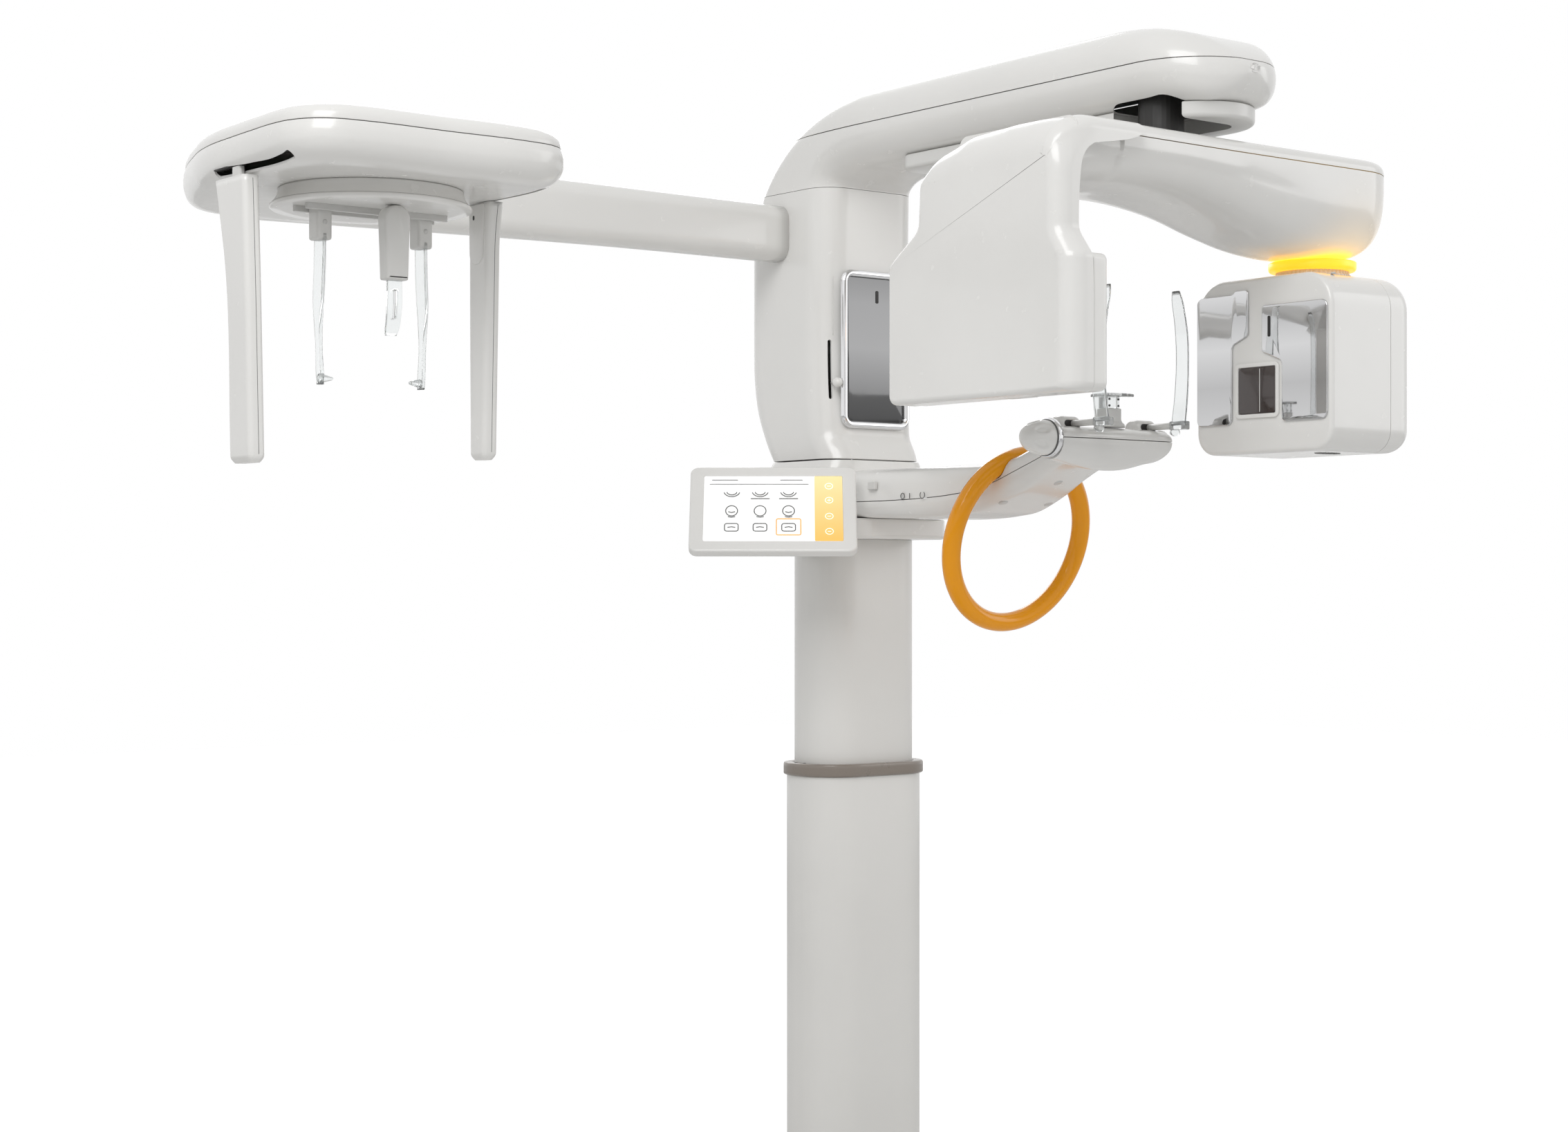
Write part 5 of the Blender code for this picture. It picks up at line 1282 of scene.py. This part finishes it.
def makeIcons():
    # thin line drawings: skull, jaw, tooth row and head shapes, each in its own cell
    lines = []
    turn = np.linspace(0, 2 * math.pi, 28, endpoint=False)
    half = np.linspace(math.radians(200), math.radians(340), 16)
    for column, u in enumerate((-0.070, -0.022, 0.026)):
        for row, v in enumerate((0.030, -0.006, -0.043)):
            if row == 0:
                arch = np.stack([u + 0.014 * np.cos(half), v + 0.010 + 0.014 * np.sin(half)], 1)
                inner = np.stack([u + 0.009 * np.cos(half), v + 0.009 + 0.009 * np.sin(half)], 1)
                lines += [lineOn(arch), lineOn(inner)]
                if column:
                    lines.append(lineOn([(u - 0.016, v - 0.0085), (u, v - 0.0085), (u + 0.016, v - 0.0085)]))
            elif row == 1:
                oval = np.stack([u + 0.0100 * np.cos(turn), v + 0.0115 * np.sin(turn)], 1)
                lines.append(lineOn(oval, closed=True))
                lines.append(lineOn([(u - 0.006, v - 0.013), (u, v - 0.0145), (u + 0.006, v - 0.013)]))
                if column != 1:
                    lines.append(lineOn([(u - 0.0055, v - 0.002), (u, v - 0.004), (u + 0.0055, v - 0.002)]))
            else:
                lines.append(boxLine(u, v, 0.0115, 0.0085, 0.004))
                lines.append(lineOn([(u - 0.0065, v), (u, v + 0.0012), (u + 0.0065, v)]))
    lines.append(lineOn([(-0.108, 0.0545), (0, 0.0545), (0.060, 0.0545)], 0.0005))
    lines += [lineOn([(-0.104, 0.0640), (-0.085, 0.0640), (-0.060, 0.0640)], 0.0006),
              lineOn([(0.012, 0.0640), (0.030, 0.0640), (0.050, 0.0640)], 0.0006)]
    piece("screenIcons", joined("screenIcons", lines), "screen", darkGrey)

    frameLine = boxLine(0.026, -0.042, 0.0205, 0.0180, 0.003)
    piece("screenChoice", frameLine, "screen", amberLine)

    marks = []
    for v in (0.050, 0.018, -0.018, -0.052):
        u = 0.0945
        circleLine = np.stack([u + 0.0065 * np.cos(turn), v + 0.0065 * np.sin(turn)], 1)
        marks.append(lineOn(circleLine, 0.0006, True))
        marks.append(lineOn([(u - 0.003, v), (u, v), (u + 0.003, v)], 0.0006))
    marks.append(lineOn([(0.0945, 0.0155), (0.0945, 0.018), (0.0945, 0.0210)], 0.0006))
    piece("screenMarks", joined("screenMarks", marks), "screen", paleLine)


def makeScreen():
    # body with rounded rims and a recess for the display, on a mount, a post and a hinge knuckle
    width, height, thick = screenLook["size"]
    outline = rectangle(width / 2, height / 2, 0.014, (0, 0), 10, 8)
    turn = np.linspace(0, math.pi / 2, 7)
    back = np.stack([0.0055 * (1 - np.sin(turn)), -thick + 0.0055 * (1 - np.cos(turn))], 1)
    front = np.stack([0.0035 * (1 - np.cos(turn)), -0.0035 + 0.0035 * np.sin(turn)], 1)
    grid = onScreen(slab(outline, np.concatenate([back, front])))
    body = closedPiece("screenBody", grid, "screen", shellWhite, ["screen_body"], 40)
    wide, tall = screenLook["display"]
    recess = rectangle(wide / 2 + 0.0004, tall / 2 + 0.0004, 0.003)
    cutBy(body, [capped("recess", onScreen(slab(recess, [(0, -0.0016), (0, 0.01)])))])
    soften(body, 0.0005)
    panel = rectangle(wide / 2, tall / 2, 0.003)
    piece("screenDisplay", plateOn(panel, -0.0014, -0.0004), "screen", displayWhite,
          ["screen_display"])
    start = screenLook["stripStart"]
    strip = rectangle((wide / 2 - start) / 2, tall / 2 - 0.0002, 0.0025, ((wide / 2 + start) / 2, 0))
    piece("screenStrip", plateOn(strip, -0.0009, -0.0002, 0.0001), "screen", amberStrip)
    makeIcons()

    side, _, face = screenAxes()
    pivot = np.array(screenLook["centre"]) - face * screenLook["hinge"]
    low, high = boxOf("screen_mount")
    mountTop = pivot[2] - 0.030
    x, y = pivot[:2]
    corners = [(-0.1190, 0.0095, 0.004), (-0.150, 0.019, 0.020), (x - 0.016, y + 0.022, 0.020),
               (x - 0.023, y, 0.014), (x - 0.012, y - 0.022, 0.012), (x + 0.012, y - 0.022, 0.012),
               (-0.150, -0.059, 0.020), (-0.1190, -0.0695, 0.004)]
    outline = filleted(corners, 8, 5)
    closedPiece("screenMount", slab(outline, rims(low[2], mountTop, 0.005, 0.003)), "lift", shellWhite,
                ["screen_mount"])
    root = slab(rectangle(0.0078, 0.0385, 0.004, (-0.1262, -0.030)), rims(low[2] + 0.001, high[2], 0.002))
    closedPiece("screenRoot", root, "lift", shellWhite)
    post = [(0.0130, mountTop + 0.0004), (0.0130, mountTop + 0.003), (0.0108, mountTop + 0.006),
            (0.0108, pivot[2] - 0.001), (0.0100, pivot[2])]
    places = np.linspace(-screenLook["swivelHalf"], screenLook["swivelHalf"], 20)
    knuckle = np.stack([pivot + side * place for place in places])
    size = 0.0110 - 0.002 * np.clip((np.abs(places) - 0.026) / 0.003, 0, 1)
    meshes = [capped("post", spun(post, (x, y, 0), 2, 32)), capped("knuckle", tubeAlong(knuckle, size, 28))]
    piece("screenPost", joined("screenPost", meshes), "screen_swivel", panelGrey,
          ["screen_bracket"], 40)


def gradedPlastic(name, place, along, reach, first, second, strength):
    # lit colour that runs from first to second along a direction through a place
    finish, tree, shader = newFinish(name, first, 0.12)
    coordinates = tree.nodes.new("ShaderNodeTexCoord")
    shift = tree.nodes.new("ShaderNodeVectorMath")
    shift.operation = "SUBTRACT"
    shift.inputs[1].default_value = tuple(place)
    tree.links.new(coordinates.outputs["Object"], shift.inputs[0])
    dot = tree.nodes.new("ShaderNodeVectorMath")
    dot.operation = "DOT_PRODUCT"
    dot.inputs[1].default_value = tuple(along)
    tree.links.new(shift.outputs["Vector"], dot.inputs[0])
    share = tree.nodes.new("ShaderNodeMapRange")
    share.inputs["From Min"].default_value = -reach
    share.inputs["From Max"].default_value = reach
    tree.links.new(dot.outputs["Value"], share.inputs["Value"])
    colour = tinted(tree, share.outputs["Result"], first, second)
    tree.links.new(colour, shader.inputs["Base Color"])
    tree.links.new(colour, shader.inputs["Emission Color"])
    shader.inputs["Emission Strength"].default_value = strength
    return finish


stripUp = screenAxes()[1]
amberStrip = gradedPlastic("amberStrip", screenLook["centre"], stripUp, 0.075, (0.98, 0.56, 0.12),
                           (1.0, 0.84, 0.42), 0.20)
amberLine = litPlastic("amberLine", (0.95, 0.36, 0.02), 0.4)
paleLine = litPlastic("paleLine", (1.0, 0.99, 0.96), 0.5)
makeScreen()
print("screen made")


# Side arm with its head holder and two hanging panels

cephLook = {
    "centre": (-1.155, -0.330),
    "half": 0.2180,
    "back": 0.373,
    "side": [(0.0, -0.219), (0.130, -0.219), (0.168, -0.213), (0.197, -0.194), (0.214, -0.163),
             (0.219, -0.125), (0.218, -0.060), (0.2155, 0.010), (0.211, 0.080), (0.200, 0.140),
             (0.182, 0.200), (0.160, 0.265), (0.138, 0.318), (0.118, 0.350), (0.090, 0.368), (0.050, 0.373),
             (0.0, 0.373)],
    "bottom": 1.757,
    "seam": 1.812,
    "top": 1.842,
    "wall": 0.003,
    "gap": 0.0006,
    "belly": (0.045, 0.040, 0.77),
    "crown": (0.085, 2.2, 2.3),
    "slot": (0.0058, 0.114),
    "lining": (0.0056, 0.113),
    "slotY": -0.374,
    "hubRadius": 0.1415,
    "nasionY": -0.395,
    "armY": 0.080,
    "sensorX": -1.359,
    "collimatorX": -0.968,
    "earSpread": 0.080,
    "sensorEdges": [(1.367, -0.3885, -0.3255), (1.660, -0.3757, -0.3044), (1.700, -0.3734, -0.2945),
                    (1.7564, -0.370, -0.280)],
    "collimatorEdges": [(1.384, -0.345, -0.305), (1.660, -0.3537, -0.3027), (1.700, -0.3551, -0.3027),
                        (1.7564, -0.3638, -0.3005)],
}


def capGrid(profile):
    # smooth outline through the side's points and their mirror, drawn in by each row's inset
    table = np.array(cephLook["side"])
    along = np.concatenate([[0], np.cumsum(np.linalg.norm(np.diff(table, axis=0), axis=1))])
    places = np.linspace(0, along[-1], 64)
    side = np.stack([glide(list(zip(along, values)), places) for values in table.T], 1)
    outline = np.concatenate([side, side[-2:0:-1] * (-1, 1)])
    reach, front, back = table[:, 0].max(), table[0, 1], table[-1, 1]
    middle, length = (back + front) / 2, (back - front) / 2
    amounts = np.array([amount for amount, _ in profile])[:, None]
    u = outline[:, 0] * (cephLook["half"] - amounts) / reach
    v = middle + (outline[:, 1] - middle) * (1 - amounts / length)
    return lay(np.stack([u, v], -1) + np.array(cephLook["centre"]), [height for _, height in profile])


def makeCap():
    # belly on a squared-off quarter round, crown easing to a flat top, and slots for the panels
    bottom, seam, top = cephLook["bottom"], cephLook["seam"], cephLook["top"]
    gap, wall = cephLook["gap"], cephLook["wall"]
    turn = np.linspace(0.02, math.pi / 2, 16)
    inwards, rise, power = cephLook["belly"]
    belly = np.stack([inwards * (1 - np.sin(turn) ** power), bottom + rise * (1 - np.cos(turn) ** power)], 1)
    rows = np.concatenate([[(0.090, bottom)], belly, [(0.0008, 1.804), (0.003, seam - gap)]])
    lower = piece("capLower", skin("capLower", capGrid(rows), capFirst=True), "lift", shellWhite,
                  ["ceph_cap_lower"])
    tools, linings = [], []
    for x in (cephLook["sensorX"], cephLook["collimatorX"]):
        slot = rectangle(*cephLook["slot"], 0.0055, (x, cephLook["slotY"]), 6, 4)
        tools.append(capped("slot", slab(slot, [(0, bottom - 0.02), (0, bottom + 0.018)])))
        dark = rectangle(*cephLook["lining"], 0.0054, (x, cephLook["slotY"]))
        linings.append(capped("lining", slab(dark, rims(bottom + 0.0165, bottom + 0.0178, 0.0004))))
    walled(lower, wall, 0.0005, tools)
    share = np.linspace(0, 1, 16)
    inwards, spreadPower, risePower = cephLook["crown"]
    height = seam + gap + (top - seam - 0.0008) * (1 - (1 - share) ** risePower)
    crown = np.stack([0.0030 + inwards * share**spreadPower, height], 1)
    upper = piece("capUpper", skin("capUpper", capGrid(crown), capLast=True), "lift", shellWhite,
                  ["ceph_cap_upper"])
    walled(upper, wall)
    piece("capLining", joined("capLining", linings), "lift", slotBlack)


def makeSideArm():
    # rounded oblong sections along X, a little taller at the holder, ending in a soft round
    x = np.concatenate([np.linspace(-0.1108, -0.40, 10), np.linspace(-0.45, -1.165, 22)])
    low = glide([(-1.190, 1.7655), (-0.40, 1.779), (-0.11, 1.779)], x)
    high = glide([(-1.190, 1.8835), (-0.40, 1.880), (-0.11, 1.878)], x)
    wide = np.full(len(x), 0.0336)
    turn = np.linspace(0, math.pi / 2, 10)[1:]
    pull = 0.024 * (1 - np.cos(turn))
    x = np.concatenate([x, x[-1] - 0.0245 * np.sin(turn)])
    low = np.concatenate([low, low[-1] + pull])
    high = np.concatenate([high, high[-1] - pull])
    wide = np.concatenate([wide, wide[-1] - pull])
    rows = np.stack([rectangle(w, (h - l) / 2, min(0.026, w * 0.9), (cephLook["armY"], (l + h) / 2), 8, 5)
                     for w, l, h in zip(wide, low, high)])
    closedPiece("sideArm", lay(rows, x, 0), "lift", shellWhite, ["ceph_arm"])
    holder = rectangle(0.046, 0.028, 0.012, (cephLook["centre"][0] - 0.0125, 1.803))
    y = cephLook["centre"][1] + cephLook["back"]
    closedPiece("sideBracket", slab(holder, rims(y - 0.006, cephLook["armY"] - 0.030, 0.003), 1), "lift",
                shellWhite)


def makeHub():
    # disc under a bell that spreads as share^1.6 and falls as share^0.8, with a seam and two rails
    x, y = cephLook["centre"]
    radius = cephLook["hubRadius"]
    share = np.linspace(0, 1, 18)
    bell = np.stack([0.130 + (radius - 0.132) * share**1.6, 1.7566 - 0.0205 * share ** 0.8], 1)
    disc = [(radius - 0.0006, 1.7352), (radius, 1.7344), (radius, 1.7312), (radius - 0.0012, 1.7300),
            (radius - 0.02, 1.7300), (0.05, 1.7300)]
    closedPiece("hubDisc", spun(np.concatenate([bell, disc]), (x, y, 0), 2, 96), "ceph_holder", shellWhite,
                ["ceph_hub"])
    inner, outer = radius - 0.004, radius - 0.0022
    seam = [(inner, 1.7366), (outer, 1.7366), (outer, 1.7358), (inner, 1.7358)]
    ringPiece("hubSeam", spun(seam, (x, y, 0), 2, 96), "ceph_holder", slotBlack)
    rails = []
    for forth in (-0.0185, 0.0185):
        rail = rectangle(0.112, 0.0035, 0.0030, (x, y + forth), 4, 4)
        rails.append(capped("rail", slab(rail, rims(1.7215, 1.7304, 0.0008))))
    piece("hubRails", joined("hubRails", rails), "ceph_holder", panelGrey)


def makeEarArms():
    # flat arms whose width and lean follow cubic curves, with cones at their tips, blocks and screws
    x0, y = cephLook["centre"]
    for name, side, node in (("Left", -1, "ear_left_arm"), ("Right", 1, "ear_right_arm")):
        x = x0 + side * cephLook["earSpread"]
        body = "ear_" + name.lower()
        z = np.linspace(1.690, 1.481, 36)
        half = glide([(1.481, 0.0072), (1.492, 0.0084), (1.53, 0.0074), (1.555, 0.0086), (1.60, 0.0140),
                      (1.64, 0.0148), (1.69, 0.0148)], z)
        lean = glide([(1.481, 0.0), (1.53, 0.002), (1.59, 0.003), (1.64, 0.001), (1.69, 0.0)], z)
        rows = np.stack([rectangle(0.0029, w, 0.0026, (x + side * l, y), 5, 4) for w, l in zip(half, lean)])
        turn = np.linspace(0, 1, 8)
        cone = np.stack([0.0064 - 0.0042 * turn**1.3, -side * turn * 0.0180 + x - side * 0.0005], 1)
        cone = np.concatenate([cone, [(0.0006, x - side * 0.0200)]])
        meshes = [capped("arm", lay(rows, z)), capped("tip", spun(cone, (0, y, 1.490), 0, 28))]
        piece("earArm" + name, joined("earArm", meshes), body, clearAcrylic, [node])
        block = rectangle(0.0118, 0.0138, 0.004, (x, y), 6, 4)
        grid = slab(block, rims(1.6815, 1.7296, 0.004, 0.001))
        closedPiece("earBlock" + name, grid, body, lightGrey)
        screw = [(0.0003, y - 0.0148), (0.0030, y - 0.0147), (0.0036, y - 0.0140), (0.0036, y - 0.0125)]
        closedPiece("earScrew" + name, spun(screw, (x, 0, 1.706), 1, 20), body, panelGrey)


def makeNasion():
    # paddle with round shoulders, and a clear slotted tip whose foot bows towards the holder's centre
    x, y = cephLook["centre"][0], cephLook["nasionY"]
    corners = [(x + 0.0208, 1.7294, 0.0185), (x - 0.0208, 1.7294, 0.0185), (x - 0.0180, 1.665, 0.040),
               (x - 0.0168, 1.6255, 0.003), (x + 0.0168, 1.6255, 0.003), (x + 0.0180, 1.665, 0.040)]
    outline = filleted(corners, 10, 6)
    closedPiece("nasionBody", slab(outline, rims(y - 0.0128, y + 0.0128, 0.0045), 1), "nasion", lightGrey,
                ["nasion_body"])
    z = np.linspace(1.640, 1.5495, 26)
    half = glide([(1.5495, 0.0085), (1.556, 0.0105), (1.57, 0.0115), (1.64, 0.0118)], z)
    bow = glide([(1.5495, 0.0098), (1.565, 0.004), (1.59, 0.0), (1.64, 0.0)], z)
    rows = np.stack([rectangle(w, 0.0028, 0.0024, (x, y + b), 5, 4) for w, b in zip(half, bow)])
    tip = closedPiece("nasionTip", lay(rows, z), "nasion_piece", clearAcrylic,
                      ["nasion_tip"])
    slot = rectangle(0.0022, 0.020, 0.0021, (x, 1.592), 5, 3)
    cutBy(tip, [capped("slot", slab(slot, [(0, y - 0.02), (0, y + 0.02)], 1))])


def makePanel(name, body, x, edges, node):
    # hanging panel between its two edges, with a softly rounded foot and a seam down its narrow face
    low = edges[0][0]
    turn = np.linspace(0, math.pi / 2, 8)
    z = np.concatenate([low + 0.010 * (1 - np.cos(turn)), np.linspace(low + 0.03, 1.62, 10),
                        np.linspace(1.64, 1.7564, 14)])
    front = glide([(height, start) for height, start, _ in edges], z)
    back = glide([(height, end) for height, _, end in edges], z)
    foot = 0.0045 * (1 - np.sin(np.clip((z - low) / 0.010, 0, 1) * math.pi / 2))
    rows = np.stack([rectangle(0.0124 - f, (b - a) / 2 - f, 0.0075, (x, (a + b) / 2), 8, 6)
                     for a, b, f in zip(front, back, foot)])
    closedPiece(name, lay(rows, z), body, shellWhite, [node])
    neck = rectangle(0.0048, 0.012, 0.004, (x, cephLook["centre"][1]), 5, 4)
    closedPiece(name + "Neck", slab(neck, rims(1.7560, 1.7720, 0.0008)), body, lightGrey)
    height = np.linspace(low + 0.011, 1.752, 40)
    path = np.stack([np.full(40, x + 0.0015), np.interp(height, z, front) + 0.0002, height], 1)
    seam = tubeAlong(path, 0.0005, 6, False, (0, 1, 0))
    closedPiece(name + "Seam", seam, body, darkGrey)


def makeApron():
    # round-bottomed pad with a small dark window, high on the collimator panel's broad face
    x, y = cephLook["collimatorX"] - 0.0124, -0.3265
    pad = filleted([(y + 0.0195, 1.7545, 0.003), (y - 0.0215, 1.7545, 0.003), (y - 0.0175, 1.668, 0.0165),
                    (y + 0.0175, 1.668, 0.0165)], 10, 6)
    closedPiece("collimatorPad", slab(pad, rims(x - 0.0014, x + 0.002, 0.0010), 0), "ceph_collimator_panel",
                shellWhite)
    spot = rectangle(0.0022, 0.0034, 0.0021, (y + 0.006, 1.736), 6, 3)
    closedPiece("collimatorSpot", slab(spot, rims(x - 0.0018, x - 0.0012, 0.0002), 0),
                "ceph_collimator_panel", slotBlack)


makeCap()
makeSideArm()
makeHub()
makeEarArms()
makeNasion()
makePanel("sensorPanel", "ceph_sensor_panel", cephLook["sensorX"], cephLook["sensorEdges"], "ceph_sensor")
makePanel("collimatorPanel", "ceph_collimator_panel", cephLook["collimatorX"], cephLook["collimatorEdges"],
          "ceph_collimator")
makeApron()
print("side arm made")


# Inner parts carried over as they are

for node, finish in (("arm_frame", brushedMetal), ("cross_slide_y", brushedMetal),
                     ("cross_slide_x", machinedSteel)):
    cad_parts[node].data.materials[0] = finish
print("inner parts finished")


# Studio

studio = {
    "camera": (-2.930, -3.548, 1.200),
    "azimuth": 38.0,
    "lens": 59.03,
    "shift": 0.013007,
    "lamps": [
        ("keyLamp", (-3.2, -2.6, 4.2), (0.0, -0.3, 1.5), 2.6, 95.0),
        ("fillLamp", (3.4, -3.0, 2.6), (0.0, -0.3, 1.4), 2.4, 26.0),
        ("backLamp", (1.5, 3.4, 3.6), (0.0, -0.2, 1.6), 2.4, 40.0),
    ],
    "sky": 0.50,
    "floorHalf": 14.0,
    "floorGlow": 0.58,
}


def makeStudio():
    # camera, area lamps, a sky that is plain white when seen and softer as light, and a pale floor
    cameraData = bpy.data.cameras.new("studioCamera")
    cameraData.sensor_width = 36
    cameraData.lens = studio["lens"]
    cameraData.shift_y = studio["shift"]
    cameraObject = bpy.data.objects.new("studioCamera", cameraData)
    cameraObject.location = studio["camera"]
    cameraObject.rotation_euler = (math.pi / 2, 0, -math.radians(studio["azimuth"]))
    bpy.context.scene.collection.objects.link(cameraObject)
    bpy.context.scene.camera = cameraObject

    for name, place, aim, size, power in studio["lamps"]:
        lampData = bpy.data.lights.new(name, "AREA")
        lampData.size = size
        lampData.energy = power
        lamp = bpy.data.objects.new(name, lampData)
        lamp.location = place
        away = np.array(place) - np.array(aim)
        flat = math.hypot(away[0], away[1])
        lamp.rotation_euler = (math.atan2(flat, away[2]), 0, math.atan2(away[0], -away[1]))
        bpy.context.scene.collection.objects.link(lamp)

    world = bpy.data.worlds.new("studioWorld")
    world.use_nodes = True
    tree = world.node_tree
    tree.nodes.clear()
    out = tree.nodes.new("ShaderNodeOutputWorld")
    path = tree.nodes.new("ShaderNodeLightPath")
    seen = tree.nodes.new("ShaderNodeMath")
    seen.operation = "MAXIMUM"
    both = tree.nodes.new("ShaderNodeMath")
    both.operation = "MAXIMUM"
    tree.links.new(path.outputs["Is Camera Ray"], seen.inputs[0])
    tree.links.new(path.outputs["Is Glossy Ray"], seen.inputs[1])
    tree.links.new(seen.outputs[0], both.inputs[0])
    tree.links.new(path.outputs["Is Transmission Ray"], both.inputs[1])
    soft = tree.nodes.new("ShaderNodeBackground")
    soft.inputs["Color"].default_value = (1, 1, 1, 1)
    soft.inputs["Strength"].default_value = studio["sky"]
    plain = tree.nodes.new("ShaderNodeBackground")
    plain.inputs["Color"].default_value = (1, 1, 1, 1)
    plain.inputs["Strength"].default_value = 1.0
    mix = tree.nodes.new("ShaderNodeMixShader")
    tree.links.new(both.outputs[0], mix.inputs[0])
    tree.links.new(soft.outputs[0], mix.inputs[1])
    tree.links.new(plain.outputs[0], mix.inputs[2])
    tree.links.new(mix.outputs[0], out.inputs["Surface"])
    bpy.context.scene.world = world

    half = studio["floorHalf"]
    floorMesh = bpy.data.meshes.new("studioFloor")
    floorMesh.from_pydata([(-half, -half, 0), (half, -half, 0), (half, half, 0), (-half, half, 0)], [],
                          [(0, 1, 2, 3)])
    floor = bpy.data.objects.new("studioFloor", floorMesh)
    bpy.context.scene.collection.objects.link(floor)
    finish, tree, shader = newFinish("floorPale", (0.86, 0.86, 0.855), 0.9)
    path = tree.nodes.new("ShaderNodeLightPath")
    glow = tree.nodes.new("ShaderNodeMath")
    glow.operation = "MULTIPLY"
    glow.inputs[1].default_value = studio["floorGlow"]
    shader.inputs["Emission Color"].default_value = (1, 1, 1, 1)
    tree.links.new(path.outputs["Is Camera Ray"], glow.inputs[0])
    tree.links.new(glow.outputs[0], shader.inputs["Emission Strength"])
    floorMesh.materials.append(finish)

    bpy.context.scene.view_settings.view_transform = "Standard"


makeStudio()
print("studio made")
